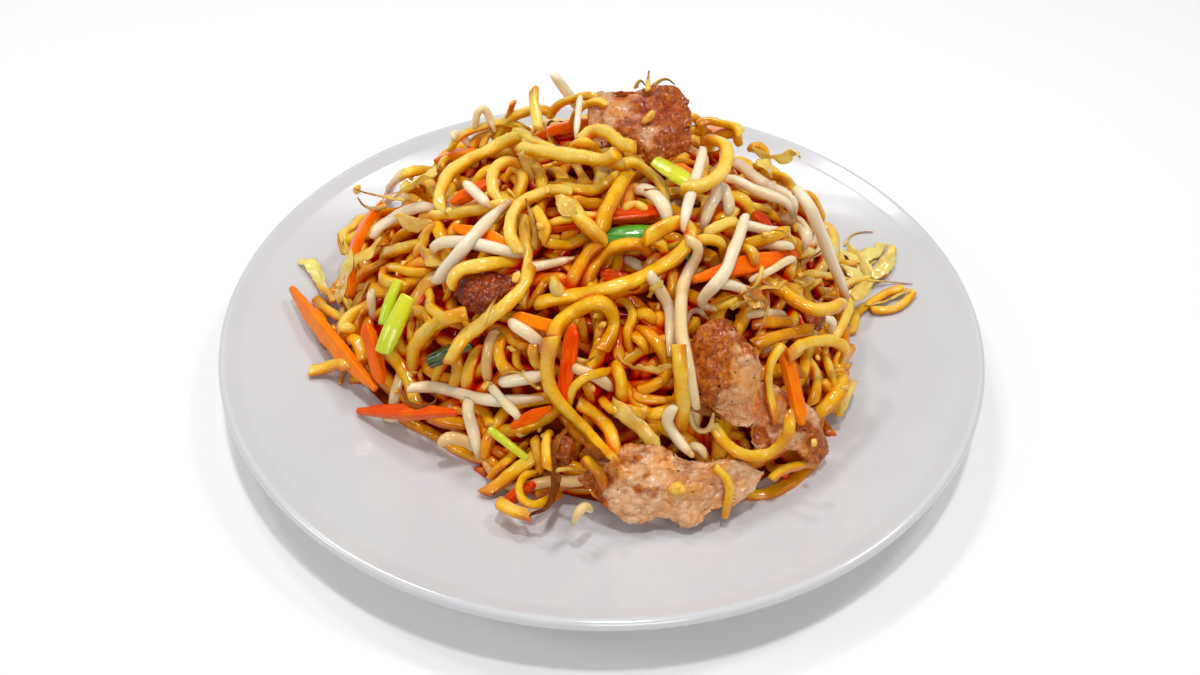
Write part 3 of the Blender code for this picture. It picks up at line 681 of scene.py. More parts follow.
# kind, half width in mm, shade from pale 0 to brown 1, and the way it runs in the 1200 x 675 frame
tracedSet = {
    "low": [
        ("noodle", 2.4, 0.45, "311,371 325,368 340,363 356,360"),
        ("noodle", 2.0, 0.4, "366,388 376,395 388,398"),
        ("sprout", 2.0, 0.5, "393,400 398,385 402,372 404,360"),
        ("sprout", 2.1, 0.3, "386,411 392,418 402,410"),
        ("noodle", 1.9, 0.5, "391,414 391,423 393,434"),
        ("noodle", 1.9, 0.5, "402,413 412,409 422,406"),
        ("noodle", 1.8, 0.45, "424,412 440,409 458,410 472,412"),
        ("sprout", 2.0, 0.7, "423,434 442,435 462,440 476,444"),
        ("noodle", 1.9, 0.7, "490,470 505,462 516,452 522,440"),
        ("noodle", 1.3, 0.4, "504,436 510,448 520,462"),
        ("noodle", 2.3, 0.75, "484,448 491,436 498,424 505,408"),
        ("noodle", 2.3, 0.65, "473,415 482,425 489,440 497,462"),
        ("noodle", 2.0, 0.6, "500,336 499,352 503,366 512,377"),
        ("noodle", 1.7, 0.5, "515,346 516,360 520,374"),
        ("noodle", 1.7, 0.6, "505,335 520,346 530,347"),
        ("noodle", 1.7, 0.6, "489,330 492,342 484,356"),
        ("noodle", 2.2, 0.7, "452,352 460,366 456,380 450,392"),
        ("noodle", 2.4, 0.35, "478,348 472,362 467,378 466,396"),
        ("sprout", 1.9, 0.8, "493,330 489,348 486,366 484,388"),
        ("noodle", 1.9, 0.3, "447,355 440,368 434,384 433,392"),
        ("noodle", 1.3, 0.35, "417,368 421,378 424,388"),
        ("noodle", 2.0, 0.25, "416,360 411,374 408,392"),
        ("noodle", 2.1, 0.5, "400,322 406,314 418,311 427,317 428,326"),
        ("noodle", 1.9, 0.4, "422,300 430,308 440,316 449,322"),
        ("noodle", 1.7, 0.45, "425,288 431,297 424,305"),
        ("noodle", 1.7, 0.55, "440,298 447,297 450,288 446,280"),
        ("shred", 2.6, 0.75, "402,318 411,306 422,291 433,272"),
        ("noodle", 1.6, 0.8, "459,312 466,321 472,334"),
        ("noodle", 1.9, 0.75, "500,281 508,279 520,276"),
        ("noodle", 2.0, 0.6, "541,279 538,293 530,303 516,309"),
        ("noodle", 1.6, 0.6, "556,277 558,286 563,296"),
        ("noodle", 1.9, 0.5, "573,160 580,172 588,185 596,194"),
        ("noodle", 2.2, 0.55, "548,166 560,175 566,184"),
        ("noodle", 2.3, 0.6, "519,158 533,166 541,178 543,190"),
        ("noodle", 2.2, 0.55, "503,172 512,167 521,172 523,184 514,192"),
        ("noodle", 2.2, 0.6, "500,190 506,200 500,212 488,217"),
        ("noodle", 2.2, 0.85, "566,210 576,200 590,205 602,200"),
        ("noodle", 2.0, 0.75, "545,250 560,262 572,270 575,286"),
        ("noodle", 2.2, 0.8, "600,285 612,276 618,262 616,250"),
        ("noodle", 2.2, 0.75, "672,262 673,276 672,296"),
        ("noodle", 1.8, 0.6, "580,318 584,328 583,338"),
        ("noodle", 1.8, 0.5, "598,318 600,330 596,342"),
        ("noodle", 2.2, 0.6, "618,320 620,332 618,345 619,360"),
        ("noodle", 1.9, 0.8, "632,377 640,367 651,359"),
        ("noodle", 1.9, 0.85, "643,374 653,366 661,356"),
        ("noodle", 1.7, 0.9, "632,394 640,399 656,400 676,402"),
        ("noodle", 2.1, 0.65, "636,315 646,313 654,320"),
        ("noodle", 1.9, 0.75, "650,300 658,312 661,326"),
        ("noodle", 2.0, 0.8, "584,378 590,392 588,404"),
        ("noodle", 2.0, 0.75, "545,310 540,324 548,336"),
        ("noodle", 2.2, 0.7, "640,430 655,427 668,424"),
        ("noodle", 1.8, 0.7, "722,433 734,436 747,437"),
        ("noodle", 1.6, 0.6, "757,434 758,443 757,451"),
        ("noodle", 1.7, 0.75, "741,439 745,444 747,451"),
        ("noodle", 1.9, 0.6, "715,415 720,424 712,440"),
        ("noodle", 1.8, 0.55, "772,470 790,468 812,460"),
        ("noodle", 1.5, 0.5, "800,368 805,378 810,388"),
        ("noodle", 1.8, 0.6, "823,378 829,392 835,402"),
        ("noodle", 1.6, 0.45, "834,369 846,373"),
        ("noodle", 2.0, 0.4, "806,250 822,256 838,262 856,264"),
        ("noodle", 1.9, 0.5, "812,272 828,276 846,280 864,286"),
        ("noodle", 1.8, 0.35, "838,290 852,282 868,278 884,274"),
        ("shred", 2.4, 0.3, "820,244 834,252 848,262"),
        ("noodle", 1.9, 0.55, "848,303 855,317 852,331"),
        ("noodle", 2.2, 0.7, "798,286 812,280 828,284 838,296"),
        ("noodle", 1.9, 0.65, "812,262 820,272 816,284"),
        ("sprout", 1.6, 0.6, "745,314 765,313 780,314 793,317"),
        ("noodle", 2.2, 0.85, "760,322 780,322 800,322"),
        ("noodle", 2.2, 0.7, "770,262 785,268 800,272"),
        ("noodle", 2.0, 0.75, "705,318 715,306 735,300 752,306"),
        ("noodle", 2.0, 0.6, "690,336 693,326 700,318"),
        ("noodle", 2.1, 0.4, "690,110 698,121 708,134"),
        ("noodle", 2.3, 0.45, "702,115 716,122 732,125 746,126"),
        ("noodle", 2.3, 0.4, "692,141 708,139 724,134 744,132"),
        ("noodle", 2.2, 0.35, "691,124 700,132 716,134"),
        ("noodle", 1.9, 0.5, "730,187 745,193 760,198 776,203"),
        ("noodle", 2.0, 0.35, "736,198 752,206 773,208"),
        ("noodle", 1.9, 0.55, "700,192 706,205 704,220"),
        ("noodle", 2.0, 0.45, "738,205 730,215 716,213"),
        ("noodle", 1.9, 0.5, "778,170 790,184 799,200 812,222"),
        ("noodle", 1.9, 0.5, "762,160 776,174 786,188"),
        ("noodle", 1.9, 0.4, "757,140 765,152 770,166"),
        ("sprout", 1.5, 0.5, "448,129 458,135 470,142"),
        ("noodle", 2.1, 0.5, "446,145 462,139 482,136 500,129 520,124"),
        ("noodle", 2.0, 0.4, "436,163 452,158 470,157"),
        ("sprout", 2.2, 0.35, "446,199 460,199 478,196"),
        ("sprout", 2.2, 0.4, "478,190 490,184 498,178"),
        ("noodle", 2.0, 0.45, "388,196 392,184 404,174 420,170 434,168"),
        ("noodle", 2.0, 0.5, "400,182 412,190 424,198"),
        ("noodle", 2.2, 0.55, "418,178 430,184 436,196"),
        ("noodle", 1.8, 0.5, "381,205 390,198 404,196 420,200"),
        ("noodle", 2.3, 0.5, "356,262 362,248 372,240 388,234"),
        ("noodle", 2.3, 0.45, "378,256 392,251 408,246 420,238"),
        ("noodle", 2.2, 0.55, "384,266 398,268 414,272 430,268"),
        ("noodle", 2.2, 0.6, "374,270 384,280 398,284 412,282"),
        ("noodle", 2.2, 0.55, "338,292 343,278 350,264 356,250"),
        ("noodle", 1.9, 0.45, "316,298 328,310 344,318 358,313 362,302"),
        ("noodle", 1.7, 0.5, "318,276 322,288 334,294"),
        ("noodle", 1.8, 0.6, "352,300 358,290 370,286"),
        ("noodle", 1.8, 0.6, "330,284 344,296 352,308"),
        ("sprout", 1.9, 0.4, "371,288 372,302 372,318"),
        ("noodle", 2.1, 0.7, "396,330 398,342 404,352 398,362"),
        ("noodle", 1.4, 0.5, "393,346 396,352 398,358"),
    ],
    "middle": [
        ("noodle", 2.1, 0.6, "556,178 570,187 585,191 600,189 612,180 622,168"),
        ("noodle", 2.0, 0.45, "446,142 468,132 492,124 516,120"),
        ("noodle", 2.2, 0.3, "478,140 492,131 508,124 524,121"),
        ("noodle", 2.0, 0.3, "548,108 566,101 584,96 602,93"),
        ("noodle", 2.0, 0.4, "572,112 584,106 596,101 606,98"),
        ("noodle", 2.3, 0.3, "514,124 526,136 542,145 564,151"),
        ("noodle", 2.2, 0.25, "494,130 506,121 520,114 536,109 552,106"),
        ("noodle", 2.2, 0.3, "572,142 585,142 597,146"),
        ("noodle", 2.4, 0.25, "436,206 441,189 450,173 468,160 488,151 506,141 524,136 536,142"),
        ("noodle", 2.1, 0.2, "508,206 497,198 492,184 494,170 504,161 516,156"),
        ("noodle", 2.5, 0.2, "424,213 445,214 470,211 492,206 508,198"),
        ("noodle", 2.0, 0.35, "432,221 426,232 424,244 412,252"),
        ("sprout", 2.2, 0.2, "366,232 382,225 400,214 418,207 432,203"),
        ("sprout", 2.1, 0.1, "428,245 446,242 466,242 484,246 502,250 520,254"),
        ("noodle", 2.3, 0.35, "446,284 458,272 476,266 500,263 524,260"),
        ("noodle", 2.2, 0.25, "516,248 510,236 511,220 518,206 532,197 550,191 570,186"),
        ("noodle", 1.9, 0.5, "532,204 540,216 546,228 540,234"),
        ("noodle", 1.5, 0.35, "546,221 562,220 582,216 602,214"),
        ("noodle", 1.9, 0.65, "541,236 552,243 566,245 580,240 592,232"),
        ("noodle", 2.6, 0.4, "566,196 574,209 584,222 601,234"),
        ("noodle", 2.5, 0.8, "598,238 589,252 578,268 568,286"),
        ("noodle", 2.6, 0.75, "630,168 622,182 612,200 600,226"),
        ("noodle", 2.3, 0.7, "584,282 592,268 605,253 622,245 640,244 652,250"),
        ("sprout", 1.8, 0.3, "622,257 633,263 646,269"),
        ("noodle", 1.8, 0.3, "622,205 634,204 648,206"),
        ("noodle", 2.0, 0.45, "642,238 656,241 668,250"),
        ("noodle", 2.0, 0.3, "646,270 654,260 664,256"),
        ("noodle", 2.2, 0.3, "618,160 634,163 650,173 662,186 666,200"),
        ("sprout", 2.2, 0.2, "637,184 650,192 662,204 671,224"),
        ("noodle", 2.0, 0.35, "694,239 710,239 722,243 728,250"),
        ("noodle", 1.9, 0.35, "552,276 556,286 564,292"),
        ("noodle", 2.3, 0.45, "420,339 428,329 442,321 460,314"),
        ("noodle", 2.3, 0.35, "408,373 410,356 418,342 430,328 448,318"),
        ("sprout", 2.0, 0.1, "508,322 524,331 538,342 549,357"),
        ("noodle", 1.9, 0.4, "530,346 534,358 541,373"),
        ("sprout", 2.0, 0.2, "498,383 516,380 544,375"),
        ("sprout", 1.7, 0.2, "484,384 494,391 506,404 520,417"),
        ("sprout", 2.0, 0.15, "466,398 468,414 473,431 478,449"),
        ("sprout", 1.8, 0.45, "572,369 590,374 604,382 612,392"),
        ("noodle", 1.5, 0.45, "566,403 574,387 588,376 609,371"),
        ("noodle", 2.4, 0.45, "614,365 620,378 621,394 618,412"),
        ("noodle", 2.2, 0.65, "630,326 648,334 662,350 668,368 660,382 640,391"),
        ("noodle", 1.8, 0.5, "630,332 640,340 648,349"),
        ("noodle", 1.5, 0.55, "616,300 628,304 633,317 627,332 630,350"),
        ("noodle", 2.0, 0.4, "625,410 638,412 650,415"),
        ("noodle", 2.0, 0.45, "650,416 664,412 677,408"),
        ("noodle", 1.8, 0.6, "600,400 610,408 622,412"),
        ("noodle", 2.4, 0.4, "576,405 590,411 603,421 611,434 614,448"),
        ("shred", 2.6, 0.35, "612,408 628,417 643,430 655,444"),
        ("noodle", 2.0, 0.5, "586,455 592,465 604,475"),
        ("noodle", 1.9, 0.4, "533,437 537,450 540,464"),
        ("noodle", 1.8, 0.45, "548,430 546,444 547,460"),
        ("noodle", 1.4, 0.5, "534,466 523,477 519,490 524,502 536,505 548,500 560,494"),
        ("sprout", 1.5, 0.6, "590,502 581,509 573,516"),
        ("sprout", 1.5, 0.4, "690,444 698,446 706,452"),
        ("noodle", 2.4, 0.5, "766,276 778,287 794,300 812,309 832,308 846,298"),
        ("noodle", 2.1, 0.75, "761,343 778,336 798,332 818,328"),
        ("noodle", 2.0, 0.35, "807,352 813,364 818,380 815,397"),
        ("noodle", 1.7, 0.35, "826,351 829,368 834,384 839,406"),
        ("shred", 2.0, 0.2, "852,378 848,390 841,404"),
        ("sprout", 1.8, 0.2, "724,281 738,287 752,294 768,304"),
        ("noodle", 1.4, 0.4, "700,308 714,308 728,304 742,296"),
        ("sprout", 1.3, 0.4, "758,276 772,270 786,261 802,256"),
        ("sprout", 2.1, 0.3, "758,242 780,245 798,245"),
        ("noodle", 2.1, 0.55, "742,244 762,240 778,234 794,228"),
        ("noodle", 2.1, 0.3, "740,245 750,250 760,258"),
        ("noodle", 2.1, 0.25, "708,231 722,225 742,219"),
        ("sprout", 1.7, 0.2, "744,220 756,227 770,231 790,232"),
        ("sprout", 2.2, 0.35, "722,182 717,194 709,208 705,224"),
        ("sprout", 2.0, 0.35, "722,182 727,196 731,212"),
        ("sprout", 2.3, 0.15, "732,157 748,172 768,186 790,197 802,208"),
        ("sprout", 2.3, 0.2, "727,174 744,184 766,194 786,202 800,212"),
        ("sprout", 2.1, 0.25, "792,214 802,228 813,244"),
        ("noodle", 1.3, 0.5, "803,188 813,197 820,210 828,219"),
        ("noodle", 1.8, 0.3, "842,288 850,302 846,318 836,336"),
        ("sprout", 1.6, 0.2, "830,316 835,327"),
        ("noodle", 1.9, 0.35, "893,248 886,262 873,276"),
        ("shred", 2.2, 0.3, "882,244 872,258 858,270"),
        ("shred", 2.2, 0.25, "848,249 862,262 872,280"),
        ("noodle", 1.7, 0.5, "832,246 841,260 846,278"),
        ("noodle", 1.7, 0.6, "856,311 872,302 888,292 902,288"),
        ("noodle", 1.8, 0.55, "872,310 890,310 905,302 913,292"),
        ("shred", 1.6, 0.4, "378,270 385,261 392,257"),
    ],
    "top": [
        ("sprout", 2.0, 0.25, "555,76 562,86 571,98 579,110"),
        ("sprout", 1.1, 0.2, "580,98 578,116 576,136"),
        ("sprout", 1.5, 0.6, "475,130 477,114 483,107 488,114 494,130"),
        ("noodle", 2.4, 0.3, "584,138 592,131 606,132 620,143 633,147"),
        ("noodle", 2.6, 0.25, "522,148 540,151 562,154 588,158 604,160 616,154"),
        ("sprout", 1.9, 0.2, "467,184 477,194 489,206"),
        ("noodle", 2.0, 0.3, "524,216 525,236 527,256 526,278 522,304"),
        ("sprout", 2.0, 0.25, "528,268 546,265 571,259"),
        ("noodle", 2.3, 0.25, "530,262 524,285 506,305 480,325 462,340 449,362"),
        ("sprout", 2.3, 0.1, "437,282 452,262 470,240 488,221 508,202"),
        ("noodle", 2.5, 0.5, "538,303 560,298 590,293 620,285 645,276 665,264 682,251 690,238 688,227 "
                             "677,222 662,229 646,238"),
        ("sprout", 2.1, 0.15, "650,276 660,290 668,306 671,330 670,354"),
        ("sprout", 1.9, 0.1, "703,150 700,165 695,180 690,197 686,212 683,228"),
        ("noodle", 2.4, 0.35, "683,188 700,186 714,180 723,170 727,156 724,144 712,140"),
        ("noodle", 2.5, 0.45, "553,338 558,325 572,313 590,304 603,303 612,314 613,330 602,350"),
        ("noodle", 2.7, 0.4, "552,338 547,360 548,380 556,398 572,416 588,432 600,446 614,460"),
        ("sprout", 2.0, 0.5, "690,241 698,246 697,256 689,270 683,286 681,306 681,330 685,350 "
                             "690,378 695,404 697,426"),
        ("noodle", 2.3, 0.35, "678,346 680,364 682,388 684,408 680,428"),
        ("sprout", 2.0, 0.2, "673,408 667,421 676,437 691,454"),
        ("sprout", 2.0, 0.1, "745,217 739,236 732,254 726,270 716,284 704,296 701,305 713,308"),
        ("sprout", 1.0, 0.5, "688,321 690,313 698,310 706,317"),
        ("sprout", 0.9, 0.8, "690,412 693,425 702,432 710,428 713,416"),
        ("noodle", 2.0, 0.35, "714,424 722,439 735,451 752,456 770,453 784,441 790,428 788,414"),
        ("noodle", 1.6, 0.4, "782,346 772,360 768,378 770,398 776,420"),
        ("noodle", 2.0, 0.25, "789,356 800,346 815,341 834,341 846,350 842,360"),
        ("sprout", 2.2, 0.1, "797,190 807,203 816,221 824,241 832,262 840,280 847,297"),
        ("sprout", 2.0, 0.1, "411,388 432,387 456,392 480,399 502,401 522,399 542,399"),
        ("noodle", 2.2, 0.4, "486,493 500,483 515,471 530,460 541,451"),
        ("noodle", 2.1, 0.15, "499,503 512,510 528,515"),
        ("noodle", 1.7, 0.15, "716,468 725,476 730,490 725,516"),
        ("root", 1.3, 0.35, "534,246 535,232 531,216 526,199"),
    ],
    "fine": [
        ("leaf", 3.6, 0.35, "433,170 424,180 412,188 398,196"),
        ("leaf", 4.0, 0.55, "382,238 372,248 362,256 354,266"),
        ("leaf", 4.4, 0.4, "352,254 347,268 342,284 339,300"),
        ("leaf", 2.8, 0.15, "299,263 309,262 315,270 320,282 327,294"),
        ("leaf", 3.0, 0.65, "420,246 428,256 438,262 449,262"),
        ("leaf", 3.2, 0.5, "398,214 408,222 420,226 432,224"),
        ("leaf", 3.0, 0.25, "372,282 366,292 360,302"),
        ("leaf", 3.2, 0.3, "754,148 766,156 778,160 790,152 799,156"),
        ("leaf", 2.6, 0.5, "757,160 766,166 774,176"),
        ("leaf", 3.6, 0.2, "836,246 848,254 862,258 874,252 884,244"),
        ("leaf", 3.2, 0.3, "840,266 852,272 864,280 874,278"),
        ("leaf", 2.8, 0.3, "891,250 888,262 881,271 872,278"),
        ("leaf", 3.0, 0.5, "842,288 850,299 860,292 871,284"),
        ("leaf", 2.6, 0.4, "868,306 882,300 896,294 910,290"),
        ("leaf", 2.6, 0.2, "551,281 556,288 563,294"),
        ("leaf", 2.8, 0.55, "560,196 566,206 574,214"),
        ("leaf", 2.4, 0.6, "742,292 752,300 764,304"),
        ("leaf", 2.4, 0.45, "754,286 770,288 784,282"),
        ("root", 0.8, 0.5, "405,200 390,198 375,195 363,192 355,189"),
        ("crumb", 1.6, 0.6, "353,187 360,191"),
        ("root", 1.2, 0.2, "385,206 375,209 364,206 358,198"),
        ("root", 0.5, 0.8, "352,268 346,254 340,243 338,234"),
        ("noodle", 1.4, 0.85, "500,136 505,124 510,111 513,103"),
        ("noodle", 1.8, 0.2, "538,128 536,114 534,102 534,91"),
        ("root", 0.9, 0.4, "636,87 640,79 645,85"),
        ("root", 1.0, 0.8, "648,90 648,80 649,71"),
        ("root", 1.0, 0.6, "653,86 661,80 668,79 674,84"),
        ("root", 0.6, 0.8, "845,245 850,236 861,232 872,232"),
        ("root", 0.5, 0.8, "868,280 890,282 912,284"),
        ("root", 0.7, 0.7, "792,154 798,152 800,158"),
        ("root", 0.8, 0.6, "762,268 759,280 750,290 738,296"),
        ("root", 0.9, 0.5, "732,308 744,302 756,300"),
        ("root", 0.8, 0.9, "795,242 786,232 772,230"),
        ("root", 0.9, 0.7, "478,449 485,455 495,455"),
        ("root", 0.8, 0.6, "558,470 570,469 584,472"),
        ("root", 1.0, 0.6, "518,435 527,433 533,428"),
        ("root", 0.9, 0.5, "578,360 588,361 594,357"),
        ("root", 1.1, 0.9, "484,322 489,310 497,296"),
        ("root", 0.7, 0.7, "508,190 514,196 518,206"),
        ("curl", 1.7, 0.7, "566,429 556,444 552,460 556,476 554,492 546,508 531,514"),
        ("curl", 1.0, 0.9, "402,392 407,402 419,407 431,405 437,399 434,394"),
        ("curl", 1.3, 0.3, "688,403 697,409 708,412 720,418"),
        ("curl", 1.5, 0.8, "585,444 594,450 600,458 609,461"),
        ("curl", 1.3, 0.6, "540,470 548,478 551,490"),
        ("crumb", 2.3, 0.1, "674,486 679,492"),
        ("crumb", 1.5, 0.3, "544,434 548,437"),
        ("crumb", 1.3, 0.3, "538,428 541,431"),
        ("crumb", 2.6, 0.2, "645,113 652,122"),
        ("crumb", 1.5, 0.4, "798,274 802,276"),
        ("crumb", 1.7, 0.5, "538,224 543,228"),
        ("crumb", 1.6, 0.4, "514,276 518,279"),
        ("crumb", 1.3, 0.2, "812,441 816,444"),
        ("crumb", 1.2, 0.5, "546,388 549,391"),
    ],
}

# for each layer: how far it may stand over the heap's form, how evenly its strands lie, how deep
# their ends dive
layerSet = {"low": (-6.0, 10, 3.5), "middle": (-2.0, 10, 3.0), "top": (4.5, 10, 0.0), "fine": (6.0, 4, 0.0)}

for part, routes in tracedSet.items():
    for kind, size, tone, route in routes:
        pixels = [[float(number) for number in spot.split(",")] for spot in route.split()]
        traced(kind, pixels, size, tone, part == "low", *layerSet[part])
    print("traced strands:", part, len(routes))

print("upper strands:", fillLayer("above", fillDraw))


# scraps that lie about on top: torn cabbage, sprout roots, bits of egg and noodle

# kind: how many, half width, length, and how strongly it bends
scrapSet = {
    "leaf": (22, (1.0, 2.2), (7, 16), 0.12),
    "root": (30, (0.5, 0.9), (8, 20), 0.20),
    "curl": (7, (0.8, 1.2), (7, 13), 0.16),
    "crumb": (90, (0.6, 1.5), (2, 3), 0.0),
}


def scatterScraps(draw):
    laid = 0
    for kind, (count, sizes, lengths, curl) in scrapSet.items():
        for _ in range(count):
            spot, heading = startSpots(draw, 1) * 0.97, draw.uniform(0, 2 * np.pi, 1)
            length, size, tone = draw.uniform(*lengths), draw.uniform(*sizes), draw.uniform(0.1, 1)
            xy = evenly(growRoutes(draw, spot, heading, max(length, 2 * stepLength), curl)[0], 1.2)
            if covered(sample(gridOver, xy)).any():
                continue
            layRoute(xy, size, kind, tone, 3)
            laid += 1
    return laid


print("scraps:", scatterScraps(fillDraw))


# how closely things lie round each spot of the heap, on a grid of 1 mm, which sets the painted shade in gaps

airSet = {
    "half": 124,
    "high": 112,
    # how far round a spot is felt, and how far out of the surface that spot is
    "near": (2, 1.6),
    "far": (5, 4.5),
    # how full it is there where the shade begins, and how much fuller it is at its strongest
    "gap": (0.40, 0.45),
    "deep": (0.34, 0.40),
    "edge": (1.04, 0.2),  # both fade out at the heap's foot
}


def airGrid():
    half, high = airSet["half"], airSet["high"]
    line = np.arange(-half, half + 1.0)
    flat = np.stack(np.meshgrid(line, line, indexing="ij"), -1)
    filled = (np.arange(high)[None, None] < sample(gridCore, flat)[..., None]).astype(np.float32)
    for strand in strands:
        reach = int(math.ceil(strand.body))
        steps = np.arange(-reach, reach + 1)
        ball = np.stack(np.meshgrid(steps, steps, steps, indexing="ij"), -1).reshape(-1, 3)
        ball = ball[(ball**2).sum(1) <= strand.body**2]
        spots = np.round(evenly(strand.line, 1.0)).astype(int)[:, None] + ball[None] + (half, half, 0)
        spots = spots.reshape(-1, 3)
        spots = spots[((spots >= 0) & (spots < filled.shape)).all(1)]
        filled[tuple(spots.T)] = 1
    for name in toppingNames:
        tree = toppingTree([name])
        least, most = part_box(name)
        for i in range(int(least[0] / mm), int(most[0] / mm) + 1):
            for j in range(int(least[1] / mm), int(most[1] / mm) + 1):
                top = tree.ray_cast(Vector((i, j, 120)), Vector((0, 0, -1)))[0]
                bottom = tree.ray_cast(Vector((i, j, -5)), Vector((0, 0, 1)))[0]
                if top is not None and bottom is not None:
                    filled[i + half, j + half, int(round(bottom[2])):int(round(top[2])) + 1] = 1
    return filled


def boxBlurred(values, reach):
    size = 2 * reach + 1
    for axis in range(3):
        for _ in range(2):
            sides = [(reach + 1, reach) if k == axis else (0, 0) for k in range(3)]
            total = np.cumsum(np.pad(values, sides, mode="edge"), axis=axis, dtype=np.float64)
            ahead = np.take(total, range(size, total.shape[axis]), axis)
            behind = np.take(total, range(0, total.shape[axis] - size), axis)
            values = ((ahead - behind) / size).astype(np.float32)
    return values


def readAir(values, points):
    p = np.clip(points + (airSet["half"], airSet["half"], 0), 0, np.array(values.shape) - 1.001)
    whole = p.astype(int)
    return blended(values, whole, p - whole)


air = airGrid()
airNear = boxBlurred(air, airSet["near"][0])
airFar = boxBlurred(air, airSet["far"][0])


def strength(full, name):
    begins, more = airSet[name]
    return np.clip((full - begins) / more, 0, 1)


def addShade(mesh, points, normals):
    # gap: 0 in the open, 1 where pieces touch. deep: 0 outside, 1 far down between the strands. Both set how
    # much painted shade a surface gets.
    near = readAir(airNear, points + normals * airSet["near"][1])
    far = readAir(airFar, points + normals * airSet["far"][1])
    foot, fade = airSet["edge"]
    inside = np.clip((foot - sample(gridShare, points[:, :2])) / fade, 0, 1)
    addValues(mesh, "gap", strength(near, "gap") * (0.3 + 0.7 * inside))
    addValues(mesh, "deep", strength(far, "deep") * inside)


print("gaps mapped")


# strands as meshes

# corners round a strand, how square it is, thickness over width, mm between rings, length of its rounded end,
# and how blistered, creased and torn it is
sweepSet = {
    "noodle": {"around": 14, "power": (2.2, 4.2), "flat": (0.58, 0.9), "ring": 1.2, "end": 0.5, "rough": 1.2,
               "crease": 0.26, "torn": 0.3, "slim": 0.92, "blunt": (0.76, 0.94)},
    "sprout": {"around": 12, "power": (2.0, 2.3), "flat": (0.82, 1.0), "ring": 1.5, "end": 1.1, "rough": 0.3,
               "crease": 0.2, "torn": 0.0},
    "shred": {"around": 14, "power": (2.2, 2.6), "flat": (0.2, 0.3), "ring": 1.1, "end": 0.3, "rough": 0.5,
              "crease": 0.10, "torn": 0.5},
    "leaf": {"around": 24, "power": (2.0, 2.0), "flat": (0.09, 0.12), "ring": 1.0, "end": 0.1, "rough": 0.5,
             "crease": 0.05, "torn": 0.8},
    "root": {"around": 8, "power": (2.0, 2.0), "flat": (0.7, 0.9), "ring": 1.0, "end": 0.4, "rough": 0.5,
             "crease": 0.05, "torn": 0.1},
    "curl": {"around": 10, "power": (2.0, 2.4), "flat": (0.3, 0.45), "ring": 0.9, "end": 0.3, "rough": 1.0,
             "crease": 0.12, "torn": 0.5},
}


def frames(line):
    # directions along, across and out at each point, turned as little as possible
    ahead = unit(np.gradient(line, axis=0))
    outs = []
    out = coreNormals(line[:1, :2])[0]
    for tangent in ahead:
        out = out - tangent * (out @ tangent)
        out = out / max(np.linalg.norm(out), 1e-6)
        outs.append(out)
    out = np.array(outs)
    out = unit(out - ahead * (out * ahead).sum(-1, keepdims=True))
    return ahead, np.cross(ahead, out), out


def widthAlong(kind, radius, s):
    if kind == "sprout":
        tail = 0.5 * np.clip((s - 0.7) / 0.3, 0, 1) ** 1.5
        return radius * (1 - tail) * (1 - 0.2 * np.clip(1 - s / 0.1, 0, 1))
    if kind == "root":
        return radius * (1 - 0.75 * s)
    if kind == "curl":
        return radius * (0.35 + 0.65 * np.sin(np.pi * np.clip(s, 0.06, 0.94)))
    if kind == "leaf":
        return radius * np.sin(np.pi * np.clip(s, 0.07, 0.95)) ** 0.5
    return np.full(len(s), radius)


def crossSection(strand, line, length, index, draw):
    # how far a strand is turned at each point, and its half width and half thickness there
    shape = sweepSet[strand.kind]
    s = np.linspace(0, 1, len(line))
    twist = draw.uniform(-1, 1) * min(1.6, length / 40) * s + draw.normal(0, 0.35)
    if strand.kind in ("leaf", "shred"):
        twist = twist + 0.7 * bumps(line, 12.0, index * 1.9)
    squeeze = bumps(line, 11.0, index * 3.1) + 0.5 * bumps(line, 4.0, index * 1.7)
    width = widthAlong(strand.kind, strand.radius, s) * shape.get("slim", 1.0) * (1 + 0.10 * squeeze)
    flat = width * draw.uniform(*shape["flat"]) * (1 - 0.2 * squeeze + 0.08 * bumps(line, 6.0, index * 2.3))
    if strand.kind == "leaf":
        flat = np.full(len(line), 0.32)
    return s, twist, width, flat


def roughened(points, radial, ringed, walked, sideways, outward, strand, index):
    # creases along the strand, blisters, torn edges, and a leaf's ruffles
    shape = sweepSet[strand.kind]
    crease = bumps(np.c_[ringed * 2.2, walked / 7.0], 1.0, index * 5.3)
    blister = 0.6 * bumps(points, 1.7, index * 0.7) + 0.4 * bumps(points, 3.6, index * 1.3)
    torn = bumps(points, 1.4, index * 2.9) * np.abs(ringed[:, 0]) ** 4
    push = shape["crease"] * crease + 0.17 * shape["rough"] * blister
    points = points + radial * (push * min(strand.radius / 2.4, 1.0))[:, None]
    points = points + sideways * np.sign(ringed[:, :1]) * (shape["torn"] * torn)[:, None]
    if strand.kind == "leaf":
        ruffle = bumps(points, 5.0, index * 4.1) * 1.5 + bumps(points, 2.4, index) * 0.5
        points = points + outward * ruffle[:, None]
    return points


def tubeFaces(total, around):
    first = np.arange(total - 1)[:, None] * around
    k = np.arange(around)[None]
    n = (k + 1) % around
    quads = np.stack([first + k, first + n, first + around + n, first + around + k], -1).reshape(-1, 4)
    return quads.tolist() + [list(range(around))[::-1], [(total - 1) * around + i for i in range(around)]]


